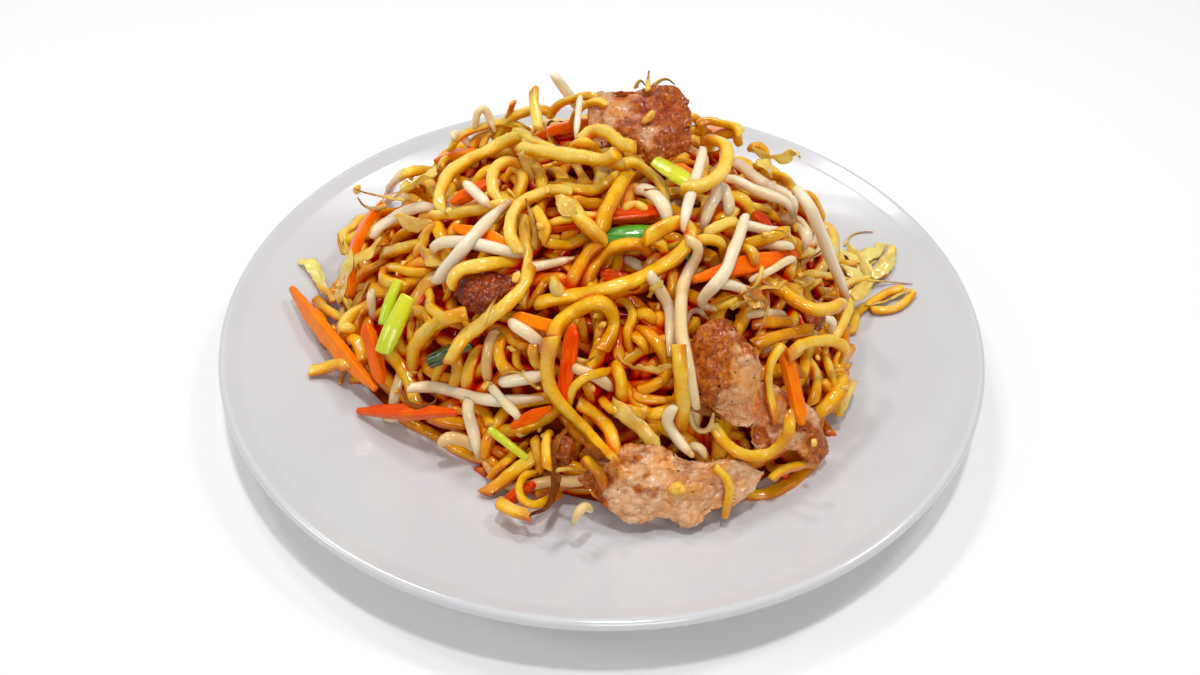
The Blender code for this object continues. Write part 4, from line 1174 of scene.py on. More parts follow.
def sweepStrand(strand, index, draw):
    shape = sweepSet[strand.kind]
    line = evenly(strand.line, shape["ring"])
    line[1:-1] = 0.25 * line[:-2] + 0.5 * line[1:-1] + 0.25 * line[2:]
    length = np.linalg.norm(np.diff(line, axis=0), axis=1).sum()
    ahead, side, out = frames(line)
    s, twist, width, flat = crossSection(strand, line, length, index, draw)
    power = draw.uniform(*shape["power"])
    slant = draw.uniform(-0.8, 0.8, 2)
    count, around = len(line), shape["around"]
    angles = np.arange(around) * 2 * np.pi / around
    cosine, sine = np.cos(angles), np.sin(angles)
    bulge = (np.abs(cosine) ** power + np.abs(sine) ** power) ** (-1 / power)
    across, up = cosine * bulge, sine * bulge

    # two more rings round each end off
    rings = np.r_[0, 0, np.arange(count), count - 1, count - 1]
    small, large = shape.get("blunt", (0.5, 0.84))
    shrink = np.r_[small, large, np.ones(count), large, small]
    stretch = np.zeros(len(rings))
    stretch[:2], stretch[-2:] = (-shape["end"], -0.6 * shape["end"]), (0.6 * shape["end"], shape["end"])
    lean = np.zeros((len(rings), 1))
    lean[:3], lean[-3:] = slant[0], slant[1]

    turn = twist[rings][:, None]
    u = side[rings] * np.cos(turn) + out[rings] * np.sin(turn)
    v = out[rings] * np.cos(turn) - side[rings] * np.sin(turn)
    wide, thick = width[rings] * shrink, flat[rings] * shrink
    shift = stretch[:, None] + lean * across[None] * wide[:, None]
    middles = line[rings][:, None] + ahead[rings][:, None] * shift[..., None]
    points = (middles + (across[None] * wide[:, None])[..., None] * u[:, None]
              + (up[None] * thick[:, None])[..., None] * v[:, None]).reshape(-1, 3)
    middles = middles.reshape(-1, 3)
    radial = unit(points - middles)
    ringed = np.tile(np.c_[cosine, sine], (len(rings), 1))
    sideways, outward = np.repeat(u, around, 0), np.repeat(v, around, 0)
    walked = np.repeat(s[rings] * length, around)
    points = roughened(points, radial, ringed, walked, sideways, outward, strand, index)

    # what lies further back in the heap is paler
    back = np.clip((line[:, 1].mean() + 60) / 100, 0, 1)
    values = {
        "along": np.repeat(s[rings], around),
        "end": np.repeat(np.minimum(s[rings], 1 - s[rings]) * length, around),
        "tone": np.full(len(points), strand.tone + 0.10 - 0.32 * back),
        # face: 1 where the surface faces out of the heap; the noodle finish paints painted light and shade
        # from it
        "face": 0.5 + 0.5 * (radial * coreNormals(middles[:, :2])).sum(1),
        # edge: 1 on a strand's narrow sides; noodles get a little painted shade there, cabbage a browned rim
        "edge": np.abs(ringed[:, 0]) ** 4,
    }
    return points, radial, tubeFaces(len(rings), around), values


def strandObject(name, members, finish, draw):
    points, normals, faces, gathered = [], [], [], {}
    start = 0
    for index, strand in enumerate(members):
        own, normal, ownFaces, values = sweepStrand(strand, index, draw)
        points.append(own)
        normals.append(normal)
        faces += [[i + start for i in face] for face in ownFaces]
        for key, value in values.items():
            gathered.setdefault(key, []).append(value)
        start += len(own)
    points, normals = np.vstack(points), np.vstack(normals)
    mesh = meshFrom(name, points, faces)
    for key, parts in gathered.items():
        addValues(mesh, key, np.concatenate(parts))
    addShade(mesh, points, normals)
    stands(linked(name, mesh, finish), "noodle_heap")
    print(" ", name, len(members), "strands,", sum(len(face) - 2 for face in faces), "triangles")


crumbSet = {
    "least": (0.9, 0.6, 0.45),  # half length, width and height over the crumb's radius
    "most": (1.4, 0.9, 0.8),
    "lumps": ((0.9, 0.34, 3.7), (0.4, 0.16, 1.9)),  # size, height and how they differ from crumb to crumb
}


def crumbObject(members, finish, draw):
    ball = bmesh.new()
    bmesh.ops.create_icosphere(ball, subdivisions=3, radius=1.0)
    shape = np.array([v.co[:] for v in ball.verts])
    ballFaces = [[v.index for v in f.verts] for f in ball.faces]
    ball.free()
    points, normals, faces = [], [], []
    for index, crumb in enumerate(members):
        size = crumb.radius * draw.uniform(crumbSet["least"], crumbSet["most"])
        turn = np.linalg.qr(draw.normal(size=(3, 3)))[0]
        lump = np.ones(len(shape))
        for wide, high, step in crumbSet["lumps"]:
            lump += high * bumps(shape, wide, index * step)
        points.append((shape * lump[:, None] * size) @ turn + crumb.line.mean(0))
        normals.append(shape @ turn)
        faces += [[i + index * len(shape) for i in f] for f in ballFaces]
    mesh = meshFrom("egg_bits", np.vstack(points), faces)
    addShade(mesh, np.vstack(points), np.vstack(normals))
    stands(linked("egg_bits", mesh, finish), "noodle_heap")
    print("  egg_bits", len(members))


# materials

def srgb(*shades):
    linear = [v / 255 / 12.92 if v <= 10 else ((v / 255 + 0.055) / 1.055) ** 2.4 for v in shades]
    return (*linear, 1.0)


class Finish:
    # a small helper round a material's node tree

    def __init__(self, name):
        self.material = bpy.data.materials.new(name)
        self.material.use_nodes = True
        self.tree = self.material.node_tree
        self.shader = self.tree.nodes["Principled BSDF"]

    def node(self, kind, **sockets):
        made = self.tree.nodes.new(kind)
        for key, value in sockets.items():
            self.put(made, key, value)
        return made

    def put(self, node, key, value):
        # sets a socket's value or links it, and sets what isn't a socket on the node itself
        if isinstance(key, str) and key not in node.inputs:
            setattr(node, key, value)
        elif isinstance(value, bpy.types.NodeSocket):
            self.tree.links.new(value, node.inputs[key])
        else:
            node.inputs[key].default_value = value

    def value(self, name):
        return self.node("ShaderNodeAttribute", attribute_name=name).outputs["Fac"]

    def noise(self, size, detail=3.0, rough=0.55, where=None):
        where = where or self.node("ShaderNodeTexCoord").outputs["Object"]
        scale = 1 / (size * mm)
        made = self.node("ShaderNodeTexNoise", Scale=scale, Detail=detail, Roughness=rough, Vector=where)
        return made.outputs["Fac"]

    def math(self, operation, a, b=0.0):
        made = self.node("ShaderNodeMath", operation=operation)
        self.put(made, 0, a)
        self.put(made, 1, b)
        return made.outputs[0]

    def ramp(self, fac, stops):
        made = self.node("ShaderNodeValToRGB")
        elements = made.color_ramp.elements
        while len(elements) < len(stops):
            elements.new(0.5)
        for element, (at, colour) in zip(elements, stops):
            element.position = at
            element.color = (colour,) * 3 + (1.0,) if isinstance(colour, (int, float)) else colour
        self.put(made, "Fac", fac)
        return made.outputs["Color"]

    def mix(self, fac, a, b, blend="MIX"):
        made = self.node("ShaderNodeMix", data_type="RGBA", blend_type=blend)
        colours = [k for k, socket in enumerate(made.inputs) if socket.type == "RGBA"]
        for key, each in zip((0, *colours), (fac, a, b)):
            self.put(made, key, each)
        return [o for o in made.outputs if o.type == "RGBA"][0]

    def varied(self, value, noise, amount):
        return self.math("ADD", value, self.math("MULTIPLY", self.math("SUBTRACT", noise, 0.5), amount))

    def bump(self, height, distance, strength, after=None):
        made = self.node("ShaderNodeBump", Distance=distance * mm, Strength=strength, Height=height)
        if after is not None:
            self.put(made, "Normal", after)
        return made.outputs["Normal"]

    def set(self, **values):
        names = {"colour": "Base Color", "rough": "Roughness", "normal": "Normal", "coat": "Coat Weight",
                 "coatRough": "Coat Roughness", "under": "Subsurface Weight", "underScale": "Subsurface Scale",
                 "underReach": "Subsurface Radius", "ior": "IOR", "shine": "Specular IOR Level",
                 "coatNormal": "Coat Normal", "tint": "Specular Tint"}
        for key, value in values.items():
            self.put(self.shader, names[key], value)
        return self.material


noodleColours = {
    "pale": srgb(241, 207, 98),
    "gold": srgb(240, 184, 22),
    "deep": srgb(228, 142, 0),
    "brown": srgb(204, 92, 0),
    "burnt": srgb(150, 42, 0),
    "fleck": srgb(216, 132, 0),
    # the next two colours multiply what lies in gaps and deep in the heap: painted shade, with the colour of
    # the sauce
    "soaked_and_shaded": srgb(255, 152, 30),  # multiplies what lies in a gap
    "sauce_and_shade": srgb(252, 76, 8),
    "sheen": (1.0, 0.62, 0.10, 1.0),
}


def shaded(f, colour, soaked_and_shaded, sauce_and_shade, start=0.10):
    # painted shade: pieces that touch or lie deep are darkened and reddened, as shadow between strands and as
    # sauce gathered there
    gap, deep = f.value("gap"), f.value("deep")
    colour = f.mix(f.ramp(gap, [(start, 0.0), (start + 0.45, 1.0)]), colour, soaked_and_shaded, "MULTIPLY")
    colour = f.mix(f.ramp(deep, [(0.18, 0.0), (0.6, 1.0)]), colour, soaked_and_shaded, "MULTIPLY")
    depth = f.math("MULTIPLY", gap, deep)
    return f.mix(f.ramp(depth, [(0.05, 0.0), (0.34, 1.0)]), colour, sauce_and_shade, "MULTIPLY")


def noodleFinish():
    f = Finish("noodle")
    c = noodleColours
    tone, face, edge = f.value("tone"), f.value("face"), f.value("edge")
    shade = f.math("ADD", f.math("MULTIPLY", f.noise(7.0, 4, 0.62), 0.42), f.math("MULTIPLY", tone, 0.36))
    # painted light and shade: paler where a strand faces out of the heap, darker on its underside and a little
    # on its narrow edges
    shade = f.math("ADD", shade, f.math("MULTIPLY", f.math("SUBTRACT", 1.0, face), 0.36))
    shade = f.math("ADD", shade, f.math("MULTIPLY", edge, 0.06))
    colour = f.ramp(shade, [(0.30, c["pale"]), (0.45, c["gold"]), (0.61, c["deep"]), (0.80, c["brown"]),
                            (0.97, c["burnt"])])
    fleck = f.ramp(f.noise(1.2, 4, 0.78), [(0.56, 0.0), (0.68, 0.55)])
    colour = f.mix(fleck, colour, c["fleck"])
    toast = f.ramp(f.noise(10.0, 5, 0.74), [(0.58, 0.0), (0.70, 1.0)])
    colour = f.mix(f.math("MULTIPLY", toast, f.ramp(tone, [(0.2, 0.1), (0.9, 0.75)])), colour, c["brown"])
    tips = f.ramp(f.math("DIVIDE", f.value("end"), 9.0), [(0.0, 0.7), (1.0, 0.0)])
    tips = f.math("MULTIPLY", tips, f.ramp(f.noise(14.0, 1), [(0.5, 0.0), (0.6, 1.0)]))
    colour = f.mix(tips, colour, c["brown"])
    colour = shaded(f, colour, c["soaked_and_shaded"], c["sauce_and_shade"])
    rough = f.ramp(f.noise(2.4, 4, 0.7), [(0.38, 0.22), (0.62, 0.45)])
    normal = f.bump(f.noise(0.7, 3, 0.65), 0.2, 0.8)
    normal = f.bump(f.noise(1.8, 3), 0.25, 0.6, normal)
    wet = f.bump(f.noise(2.4, 2, 0.5), 0.3, 0.5)
    return f.set(colour=colour, rough=rough, normal=normal, coat=0.8, coatRough=0.10, coatNormal=wet,
                 shine=0.1, tint=c["sheen"], under=0.3, underScale=0.0022, underReach=(1.0, 0.45, 0.08),
                 ior=1.4)


sproutColours = {
    "white": srgb(240, 225, 200),
    "cream": srgb(234, 206, 154),
    "straw": srgb(220, 170, 84),
    "root": srgb(190, 128, 44),
    # painted shade with the colour of the sauce: these two multiply what lies in gaps and deep in the heap
    "soaked_and_shaded": srgb(250, 206, 130),
    "sauce_and_shade": srgb(250, 140, 40),
}


def sproutFinish():
    f = Finish("sprout")
    c = sproutColours
    shade = f.math("ADD", f.math("MULTIPLY", f.noise(8.0, 2), 0.5), f.math("MULTIPLY", f.value("tone"), 0.5))
    colour = f.ramp(shade, [(0.2, c["white"]), (0.5, c["cream"]), (0.85, c["straw"])])
    colour = f.mix(f.ramp(f.value("along"), [(0.86, 0.0), (0.99, 0.7)]), colour, c["root"])
    fleck = f.ramp(f.noise(1.6, 3, 0.7), [(0.64, 0.0), (0.72, 0.35)])
    colour = f.mix(fleck, colour, c["straw"])
    colour = shaded(f, colour, c["soaked_and_shaded"], c["sauce_and_shade"], 0.3)
    normal = f.bump(f.noise(1.2, 3), 0.10, 0.4)
    return f.set(colour=colour, rough=0.3, normal=normal, coat=1.0, coatRough=0.08, shine=0.2,
                 tint=(1.0, 0.85, 0.6, 1.0), under=0.65, underScale=0.0045, underReach=(1.0, 0.8, 0.5),
                 ior=1.38)


leafColours = {
    "pale": srgb(245, 218, 122),
    "gold": srgb(230, 170, 56),
    "brown": srgb(186, 88, 4),
    # painted shade with the colour of the sauce: these two multiply what lies in gaps and deep in the heap
    "soaked_and_shaded": srgb(255, 164, 40),
    "sauce_and_shade": srgb(252, 84, 12),
}


def leafFinish():
    f = Finish("cabbage")
    c = leafColours
    spots = f.math("MULTIPLY", f.noise(4.0, 4, 0.65), 0.6)
    shade = f.math("ADD", spots, f.math("MULTIPLY", f.value("tone"), 0.5))
    colour = f.ramp(shade, [(0.32, c["pale"]), (0.62, c["gold"]), (0.95, c["brown"])])
    rim = f.math("MULTIPLY", f.value("edge"), f.ramp(f.noise(3.0, 3), [(0.45, 0.0), (0.65, 0.7)]))
    colour = f.mix(rim, colour, c["brown"])
    colour = shaded(f, colour, c["soaked_and_shaded"], c["sauce_and_shade"], 0.25)
    normal = f.bump(f.noise(1.1, 4, 0.7), 0.16, 0.6)
    return f.set(colour=colour, rough=0.3, normal=normal, coat=0.8, coatRough=0.15,
                 shine=0.2, under=0.5, underScale=0.003, underReach=(1.0, 0.7, 0.2), ior=1.38)


rootColours = {"pale": srgb(232, 196, 96), "brown": srgb(148, 78, 16), "dark": srgb(84, 30, 6)}


def rootFinish(name, first, last):
    f = Finish(name)
    shade = f.varied(f.value("along"), f.noise(2.0, 3), 0.9)
    colour = f.ramp(shade, [(0.15, rootColours[first]), (0.9, rootColours[last])])
    normal = f.bump(f.noise(0.7, 3), 0.1, 0.6)
    return f.set(colour=colour, rough=0.36, normal=normal, coat=0.12, coatRough=0.12, shine=0.3,
                 tint=(1.0, 0.6, 0.2, 1.0), under=0.2, underScale=0.001, underReach=(1.0, 0.5, 0.15))


eggColours = {"pale": srgb(246, 214, 110), "gold": srgb(238, 180, 48), "brown": srgb(196, 104, 14)}


def eggFinish():
    f = Finish("egg")
    c = eggColours
    colour = f.ramp(f.noise(1.5, 4, 0.7), [(0.3, c["pale"]), (0.55, c["gold"]), (0.8, c["brown"])])
    # painted shade in gaps and deep in the heap, with the colour of the sauce
    colour = shaded(f, colour, noodleColours["soaked_and_shaded"], noodleColours["sauce_and_shade"])
    normal = f.bump(f.noise(0.6, 4, 0.7), 0.12, 0.7)
    return f.set(colour=colour, rough=0.4, normal=normal, coat=0.25, coatRough=0.15,
                 under=0.3, underScale=0.0015, underReach=(1.0, 0.6, 0.2))


coreColours = {"dark": srgb(96, 16, 0), "light": srgb(160, 54, 0)}


def coreFinish():
    # painted shade: the core is dark red-brown so that the depths between strands read as shadow
    f = Finish("inner_strands_and_shade")
    colour = f.ramp(f.noise(5.0, 3), [(0.3, coreColours["dark"]), (0.7, coreColours["light"])])
    return f.set(colour=colour, rough=0.6, shine=0.1, tint=(1.0, 0.3, 0.1, 1.0))


porcelainColours = {"dark": srgb(203, 203, 206), "light": srgb(208, 208, 210)}


def porcelainFinish():
    f = Finish("porcelain")
    colour = f.ramp(f.noise(60.0, 2), [(0.3, porcelainColours["dark"]), (0.7, porcelainColours["light"])])
    normal = f.bump(f.noise(26.0, 2), 0.02, 0.3)
    return f.set(colour=colour, rough=0.14, normal=normal, coat=0.3, coatRough=0.06, ior=1.5)


# the plate's own mesh

def plateLine():
    middle, half = plateSet["lip"]
    wall = [(r, plateTop(r) - plateSet["thick"] + (r - 92) * plateSet["thins"])
            for r in np.linspace(*plateSet["wall"], 15)]
    rim = [(middle + half * math.cos(a), plateSet["rim"] - half + half * math.sin(a))
           for a in np.radians(np.linspace(*plateSet["lipTurn"], 13))]
    upper = [(r, plateTop(r)) for r in np.linspace(*plateSet["upper"], 30)]
    floor = [(r, plateSet["floor"]) for r in (50, 30, 0)]
    return np.array(plateSet["foot"] + wall + rim + upper + floor)


def latheMesh(name, line, spokes):
    points, faces = [(0, 0, line[0, 1])], []
    body = line[1:-1]
    for k in range(spokes):
        a = 2 * np.pi * k / spokes
        points += [(r * math.cos(a), r * math.sin(a), z) for r, z in body]
    points.append((0, 0, line[-1, 1]))
    last, n = len(points) - 1, len(body)
    for k in range(spokes):
        a, b = 1 + k * n, 1 + (k + 1) % spokes * n
        faces.append((0, b, a))
        faces += [(a + j, b + j, b + j + 1, a + j + 1) for j in range(n - 1)]
        faces.append((a + n - 1, b + n - 1, last))
    return meshFrom(name, points, faces)


plateMesh = latheMesh("plate_surface", plateLine(), plateSet["spokes"])
stands(linked("plate_surface", plateMesh, porcelainFinish()), "plate")
print("plate made")


# the heap's core, which shows only as dark depth between strands: its dark red-brown is painted shade, with
# the brown of the strands beneath

coreSet = {"rings": 30, "spokes": 96, "share": 0.93, "under": 0.5, "lumps": (5.0, 0.8)}


def coreMesh():
    # a closed shell: rings over the top, the same rings along the bottom, and a rim
    rings, spokes = coreSet["rings"], coreSet["spokes"]
    points, faces = [], []
    for ring in range(rings + 1):
        share = ring / rings * coreSet["share"]
        for k in range(spokes):
            a = 2 * np.pi * k / spokes
            far = heapReach(a) * share
            points.append((heapSet["peak"][0] * (1 - share) + far * math.cos(a),
                           heapSet["peak"][1] * (1 - share) + far * math.sin(a)))
    flat = np.array(points)
    floor = plateTop(np.hypot(flat[:, 0], flat[:, 1])) + 0.3
    height = np.maximum(floor + 0.4, sample(gridCore, flat) - coreSet["under"])
    size, high = coreSet["lumps"]
    lumps = bumps(np.c_[flat, height], size) * high
    top = np.c_[flat, np.maximum(floor + 0.3, height + lumps)]
    bottom = np.c_[flat, floor]
    count = (rings + 1) * spokes
    allPoints = np.vstack([top, bottom])
    for ring in range(rings):
        for k in range(spokes):
            n = (k + 1) % spokes
            a, b = ring * spokes, (ring + 1) * spokes
            faces.append((a + k, b + k, b + n, a + n))
            faces.append((count + a + n, count + b + n, count + b + k, count + a + k))
    for k in range(spokes):
        n = (k + 1) % spokes
        a = rings * spokes
        faces.append((a + k, count + a + k, count + a + n, a + n))
    mesh = meshFrom("heap_core", allPoints, faces)
    tidy = bmesh.new()
    tidy.from_mesh(mesh)
    bmesh.ops.remove_doubles(tidy, verts=tidy.verts, dist=0.00002)
    bmesh.ops.dissolve_degenerate(tidy, edges=tidy.edges, dist=0.00001)
    bmesh.ops.recalc_face_normals(tidy, faces=tidy.faces)
    tidy.to_mesh(mesh)
    tidy.free()
    return mesh


stands(linked("heap_core", coreMesh(), coreFinish()), "noodle_heap")
print("core made")


# every strand as a mesh, each kind in one piece, and the noodles in three of about the same length

def strandsOf(kind):
    return [s for s in strands if s.kind == kind]


meshDraw = np.random.default_rng(3)
noodle, leaf = noodleFinish(), leafFinish()
lengths = np.cumsum([np.linalg.norm(np.diff(s.line, axis=0), axis=1).sum() for s in strandsOf("noodle")])
thirds = 3 * lengths / (lengths[-1] + 1)
for third, part in enumerate(("bottom", "inner", "outer")):
    members = [s for s, far in zip(strandsOf("noodle"), thirds) if third <= far < third + 1]
    strandObject(part + "_noodles", members, noodle, meshDraw)
strandObject("shreds", strandsOf("shred"), leaf, meshDraw)
strandObject("cabbage", strandsOf("leaf"), leaf, meshDraw)
strandObject("sprout_roots", strandsOf("root"), rootFinish("root", "pale", "brown"), meshDraw)
strandObject("burnt_curls", strandsOf("curl"), rootFinish("burnt", "brown", "dark"), meshDraw)
crumbObject(strandsOf("crumb"), eggFinish(), meshDraw)
strandObject("bean_sprouts", strandsOf("sprout"), sproutFinish(), meshDraw)
print("strands made:", len(strands))


# toppings, each grown from its solid so that it keeps that form

def fineShape(name, voxel, rounds):
    # the node's solid with a fine even skin and its hard corners rubbed off
    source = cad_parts[name]
    copy = bpy.data.objects.new(name + "_copy", source.data.copy())
    copy.matrix_world = source.matrix_world
    scene.collection.objects.link(copy)
    skin = copy.modifiers.new("skin", "REMESH")
    skin.mode = "VOXEL"
    skin.voxel_size = voxel * mm
    soften = copy.modifiers.new("soften", "SMOOTH")
    soften.factor = 0.5
    soften.iterations = rounds
    evaluated = copy.evaluated_get(bpy.context.evaluated_depsgraph_get())
    mesh = bpy.data.meshes.new_from_object(evaluated)
    old = copy.data
    bpy.data.objects.remove(copy)
    bpy.data.meshes.remove(old)
    return mesh


def readMesh(mesh):
    points = np.empty(len(mesh.vertices) * 3, np.float32)
    normals = np.empty(len(mesh.vertices) * 3, np.float32)
    mesh.vertices.foreach_get("co", points)
    mesh.vertices.foreach_get("normal", normals)
    return points.reshape(-1, 3).astype(float) / mm, normals.reshape(-1, 3).astype(float)


def fineTopping(name, shape):
    mesh = fineShape(name, shape["voxel"], shape["smooth"])
    points, normals = readMesh(mesh)
    away = points - points.mean(0)
    return mesh, points, normals, away, np.linalg.eigh(away.T @ away)[1]


def finishTopping(name, mesh, points, normals, values, finish):
    mesh.vertices.foreach_set("co", np.asarray(points * mm, np.float32).ravel())
    mesh.update()
    for key, each in values.items():
        addValues(mesh, key, each)
    addShade(mesh, points, normals)
    mesh.name = name + "_fine"
    mesh.materials.clear()
    mesh.shade_smooth()
    stands(linked(name + "_fine", mesh, finish), name)


def billows(points, size, shift):
    # soft lumps with thin winding creases between them: 0 in a crease, 1 on a lump
    return np.minimum(np.abs(bumps(points, size, shift)) * 2.4, 1) ** 0.7


porkSet = {
    "voxel": 0.5,
    "smooth": 3,
    "side": 0.6,  # how much browner one side and the rim are
    "rim": 0.7,
    "patches": ((9.0, 3.0, 0.6), (3.0, 9.0, 0.3)),
    "longer": 1.5,  # how many times longer the lumps are along the slice
    "winding": (5.0, 0.9),
    # size, height and how dark the creases between them are
    "lumps": ((5.0, 0.5, 0.45), (2.4, 0.45, 0.5), (1.3, 0.34, 0.4)),
    "grit": (0.7, 0.14),
    # for each slice: how far it is browned, from which side, the height of its folds and its painted shade
    "slices": {
        "pork_front": (0.24, (-0.9, 0.3, 0.0), 1.8, 0.0),
        "pork_middle": (0.52, (-0.5, 0.9, 0.4), 1.8, 0.1),
        "pork_right": (0.44, (0.2, -0.8, -0.7), 1.8, 0.1),
        "pork_top": (0.78, (0.8, -0.2, -0.1), 2.4, 0.3),
        "pork_inner": (0.70, (0.0, -0.6, 0.2), 1.6, 0.9),
        "pork_nugget_right": (0.8, (0.0, -0.7, 0.3), 0.8, 0.6),
        "pork_nugget_front": (0.8, (0.0, -0.7, 0.3), 0.8, 0.5),
    },
}


def makePork(name, finish):
    mesh, points, normals, away, axes = fineTopping(name, porkSet)
    amount, toward, fold, dark = porkSet["slices"][name]
    rim = 1 - np.abs(normals @ axes[:, 0])
    toward = np.array(toward) / np.linalg.norm(toward)
    facing = np.clip(away @ toward / np.abs(away).max(), -1, 1)
    sear = amount + porkSet["side"] * facing + porkSet["rim"] * rim**2
    sear += sum(more * bumps(points, size, shift) for size, shift, more in porkSet["patches"])
    sear = np.clip(sear, 0, 1)
    along = away @ axes / (1.0, 1.0, porkSet["longer"])
    size, far = porkSet["winding"]
    along += far * np.stack([bumps(points, size, shift) for shift in (11.0, 17.0, 23.0)], 1)
    push = np.zeros(len(points))
    crease = np.zeros(len(points))
    for number, (size, high, shade) in enumerate(porkSet["lumps"]):
        lump = billows(along, size, 5.0 * number)
        push += high * (lump - 1)
        crease += (1 - lump) ** 4 * shade
    push += fold * np.minimum(bumps(points, 10.0, 5.0) + 0.4 * bumps(points, 5.0, 8.0) - 0.2, 0.25)
    size, high = porkSet["grit"]
    push += high * bumps(points, size, 1.0) * (1 + 1.5 * sear)
    values = {"grain": np.clip(crease, 0, 1), "sear": sear, "dark": np.full(len(points), dark)}
    finishTopping(name, mesh, points + normals * push[:, None], normals, values, finish)


vegetableSet = {
    "voxel": 0.5,
    "smooth": 4,
    "lumps": (6.0, 0.22),
    "grit": (1.3, 0.07),
    # shade of each carrot strip, from orange 0 to deep red 1
    "carrot": {
        "carrot_centre_red": 0.95, "carrot_right_red": 0.85, "carrot_mid_upright": 0.6,
        "carrot_front_low": 0.75, "carrot_left_shoulder": 0.5, "carrot_mid_low": 0.45,
        "carrot_left_low": 0.4, "carrot_centre": 0.85, "carrot_left_point": 0.55,
        "carrot_left_arc": 0.3, "carrot_right_big": 0.35, "carrot_back_top": 0.4,
    },
    # shade of each piece of spring onion, from lime 0 through green 0.5 to nearly black 1
    "onion": {
        "onion_left_stalk": 0.12, "onion_left_leaf": 0.05, "onion_centre_leaf": 0.55, "onion_dark_left": 0.95,
        "onion_front_sliver": 0.0, "onion_top_leek": 0.0, "onion_dark_right": 0.85, "onion_back_leaf": 0.5,
    },
}


def makeVegetable(name, finish, shade):
    mesh, points, normals, away, axes = fineTopping(name, vegetableSet)
    push = np.zeros(len(points))
    for part, shift in (("lumps", 2.0), ("grit", 4.0)):
        size, high = vegetableSet[part]
        push += high * bumps(points, size, shift)
    reach = away @ axes[:, 2]
    values = {
        "along": reach / np.abs(reach).max(),
        "across": away @ axes[:, 1],
        "tone": np.full(len(points), shade),
    }
    finishTopping(name, mesh, points + normals * push[:, None], normals, values, finish)


porkColours = {
    "meat": srgb(214, 154, 100),
    "pink": srgb(228, 176, 130),
    "pale": srgb(238, 204, 168),
    "stain": srgb(226, 146, 54),
    "crease": srgb(176, 90, 32),
    "burnt": srgb(116, 38, 0),
    "brown": srgb(174, 80, 2),
    "gold": srgb(222, 136, 24),
    # painted shade: the darker slices are multiplied by this colour
    "dark": srgb(178, 112, 62),  # multiplies the darkest slices
    # painted shade with the colour of the sauce: these two multiply what lies in gaps and deep in the heap
    "soaked_and_shaded": srgb(246, 186, 120),
    "sauce_and_shade": srgb(240, 112, 40),
    "pepper": srgb(38, 24, 18),
}


def porkFinish():
    f = Finish("pork")
    c = porkColours
    meat = f.ramp(f.noise(3.0, 4, 0.65), [(0.3, c["meat"]), (0.5, c["pink"]), (0.7, c["pale"])])
    meat = f.mix(f.ramp(f.noise(9.0, 4, 0.6), [(0.46, 0.0), (0.64, 0.8)]), meat, c["stain"])
    meat = f.mix(f.ramp(f.value("grain"), [(0.1, 0.0), (0.8, 0.9)]), meat, c["crease"])
    brown = f.ramp(f.noise(2.4, 4, 0.7), [(0.3, c["burnt"]), (0.5, c["brown"]), (0.72, c["gold"])])
    amount = f.varied(f.value("sear"), f.noise(3.2, 4, 0.7), 0.7)
    colour = f.mix(f.ramp(amount, [(0.44, 0.0), (0.66, 1.0)]), meat, brown)
    # painted shade: whole slices are darkened by their dark value
    colour = f.mix(f.value("dark"), colour, c["dark"], "MULTIPLY")
    colour = shaded(f, colour, c["soaked_and_shaded"], c["sauce_and_shade"], 0.2)
    colour = f.mix(f.ramp(f.noise(1.9, 0), [(0.795, 0.0), (0.81, 1.0)]), colour, c["pepper"])
    rough = f.ramp(f.noise(1.4, 3), [(0.38, 0.3), (0.62, 0.6)])
    normal = f.bump(f.noise(0.8, 4, 0.68), 0.28, 0.9)
    wet = f.bump(f.noise(1.8, 2, 0.5), 0.4, 0.7)
    return f.set(colour=colour, rough=rough, normal=normal, coat=0.6, coatRough=0.12, coatNormal=wet,
                 shine=0.2, tint=(1.0, 0.6, 0.2, 1.0), under=0.12, underScale=0.002,
                 underReach=(1.0, 0.45, 0.2))


def fibres(f, across, along, detail):
    # streaks that run along a cut vegetable
    spot = f.node("ShaderNodeCombineXYZ", X=f.math("MULTIPLY", f.value("across"), across),
                  Y=f.math("MULTIPLY", f.value("along"), along))
    return f.noise(1 / mm, detail, 0.6, spot.outputs[0])


carrotColours = {
    "orange": srgb(250, 140, 0),
    "bright": srgb(243, 98, 0),
    "red": srgb(220, 46, 0),
    "deep": srgb(168, 16, 0),
    "fibre": srgb(255, 168, 30),
    # painted shade with the colour of the sauce: these two multiply what lies in gaps and deep in the heap
    "soaked_and_shaded": srgb(238, 150, 90),
    "sauce_and_shade": srgb(190, 60, 20),
}


def carrotFinish():
    f = Finish("carrot")
    c = carrotColours
    shade = f.varied(f.value("tone"), f.noise(7.0, 3), 0.6)
    colour = f.ramp(shade, [(0.0, c["orange"]), (0.35, c["bright"]), (0.7, c["red"]), (1.0, c["deep"])])
    streak = fibres(f, 1.4, 2.0, 3)
    colour = f.mix(f.ramp(streak, [(0.45, 0.0), (0.7, 0.25)]), colour, c["fibre"])
    colour = shaded(f, colour, c["soaked_and_shaded"], c["sauce_and_shade"], 0.25)
    return f.set(colour=colour, rough=0.3, normal=f.bump(streak, 0.12, 0.5), coat=0.2, coatRough=0.1,
                 shine=0.3, tint=(1.0, 0.4, 0.0, 1.0), under=0.12, underScale=0.002,
                 underReach=(1.0, 0.35, 0.05))


onionColours = {
    "lime": srgb(214, 214, 20),
    "light": srgb(172, 200, 10),
    "green": srgb(52, 160, 14),
    "deep": srgb(20, 104, 12),
    "dark": srgb(10, 44, 14),
    "fibre": srgb(222, 226, 100),
    # painted shade with the colour of the sauce: these two multiply what lies in gaps and deep in the heap
    "soaked_and_shaded": srgb(220, 190, 110),
    "sauce_and_shade": srgb(150, 90, 40),
}


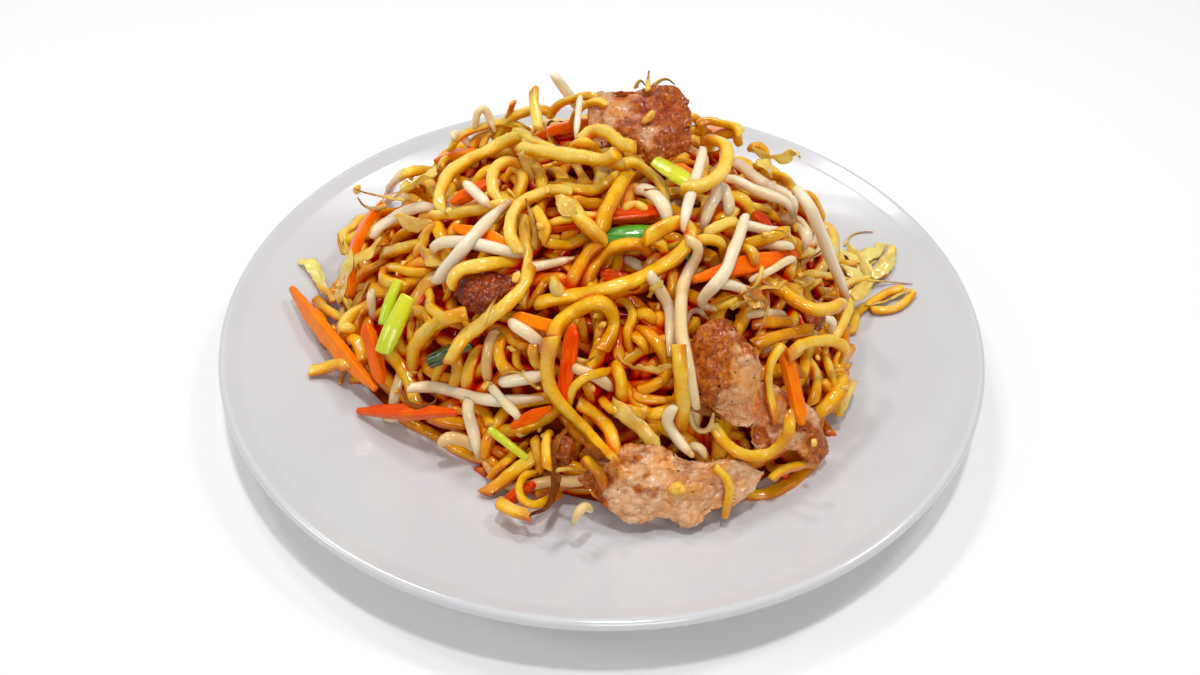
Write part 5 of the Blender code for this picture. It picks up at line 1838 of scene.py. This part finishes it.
def onionFinish():
    f = Finish("spring_onion")
    c = onionColours
    shade = f.math("ADD", f.value("tone"), f.math("MULTIPLY", f.value("along"), 0.08))
    colour = f.ramp(shade, [(0.0, c["lime"]), (0.2, c["light"]), (0.5, c["green"]), (0.7, c["deep"]),
                            (1.0, c["dark"])])
    streak = fibres(f, 2.2, 1.0, 2)
    colour = f.mix(f.ramp(streak, [(0.45, 0.0), (0.75, 0.3)]), colour, c["fibre"])
    colour = shaded(f, colour, c["soaked_and_shaded"], c["sauce_and_shade"], 0.3)
    return f.set(colour=colour, rough=0.22, normal=f.bump(streak, 0.2, 0.5), coat=0.4, coatRough=0.07,
                 under=0.25, underScale=0.002, underReach=(0.7, 1.0, 0.2))


pork, carrot, onion = porkFinish(), carrotFinish(), onionFinish()
for name in toppingNames:
    if name.startswith("pork"):
        makePork(name, pork)
    elif name.startswith("carrot"):
        makeVegetable(name, carrot, vegetableSet["carrot"].get(name, 0.15))
    else:
        makeVegetable(name, onion, vegetableSet["onion"].get(name, 0.2))
print("toppings made")


# floor and light

studio = {
    "sky": 0.30,
    "floor": 3.0,
    "floorShades": (0.86, 0.88),
    "aim": (0, 0, 0.03),
    "lamps": {  # place in metres, size, power
        "window": ((0.0, 0.380, 0.538), 0.026, 0.032),
        "gleam": ((0.0, 0.470, 0.622), 0.016, 0.010),
        "backLeft": ((-0.5, 0.35, 1.05), 0.12, 1.7),
        "topBack": ((-0.3, 0.6, 1.1), 0.12, 2.1),
        "top": ((0.05, 0.0, 1.3), 0.10, 5.5),
        "right": ((0.55, 0.25, 0.95), 0.16, 2.4),
        "left": ((-0.9, -0.2, 0.7), 0.25, 1.6),
        "front": ((0.2, -1.1, 0.9), 0.5, 4.6),
    },
}


def areaLight(name, place, size, power):
    data = bpy.data.lights.new(name, "AREA")
    data.shape = "SQUARE"
    data.size = size
    data.energy = power
    lamp = bpy.data.objects.new(name, data)
    lamp.location = place
    lamp.rotation_euler = (Vector(studio["aim"]) - lamp.location).to_track_quat("-Z", "Y").to_euler()
    scene.collection.objects.link(lamp)


def makeStudio():
    world = bpy.data.worlds.new("studio")
    world.use_nodes = True
    sky = world.node_tree.nodes["Background"]
    sky.inputs["Color"].default_value = (1.0, 1.0, 1.0, 1)
    sky.inputs["Strength"].default_value = studio["sky"]
    scene.world = world
    for name, lamp in studio["lamps"].items():
        areaLight(name + "Lamp", *lamp)
    half = studio["floor"]
    mesh = bpy.data.meshes.new("floor")
    corners = [(-half, -half, 0), (half, -half, 0), (half, half, 0), (-half, half, 0)]
    mesh.from_pydata(corners, [], [(0, 1, 2, 3)])
    f = Finish("floor")
    dark, light = studio["floorShades"]
    colour = f.ramp(f.noise(400.0, 2), [(0.3, dark), (0.7, light)])
    floor = linked("floor", mesh, f.set(colour=colour, rough=0.9))


makeStudio()
scene.view_settings.view_transform = "Standard"
print("studio made")
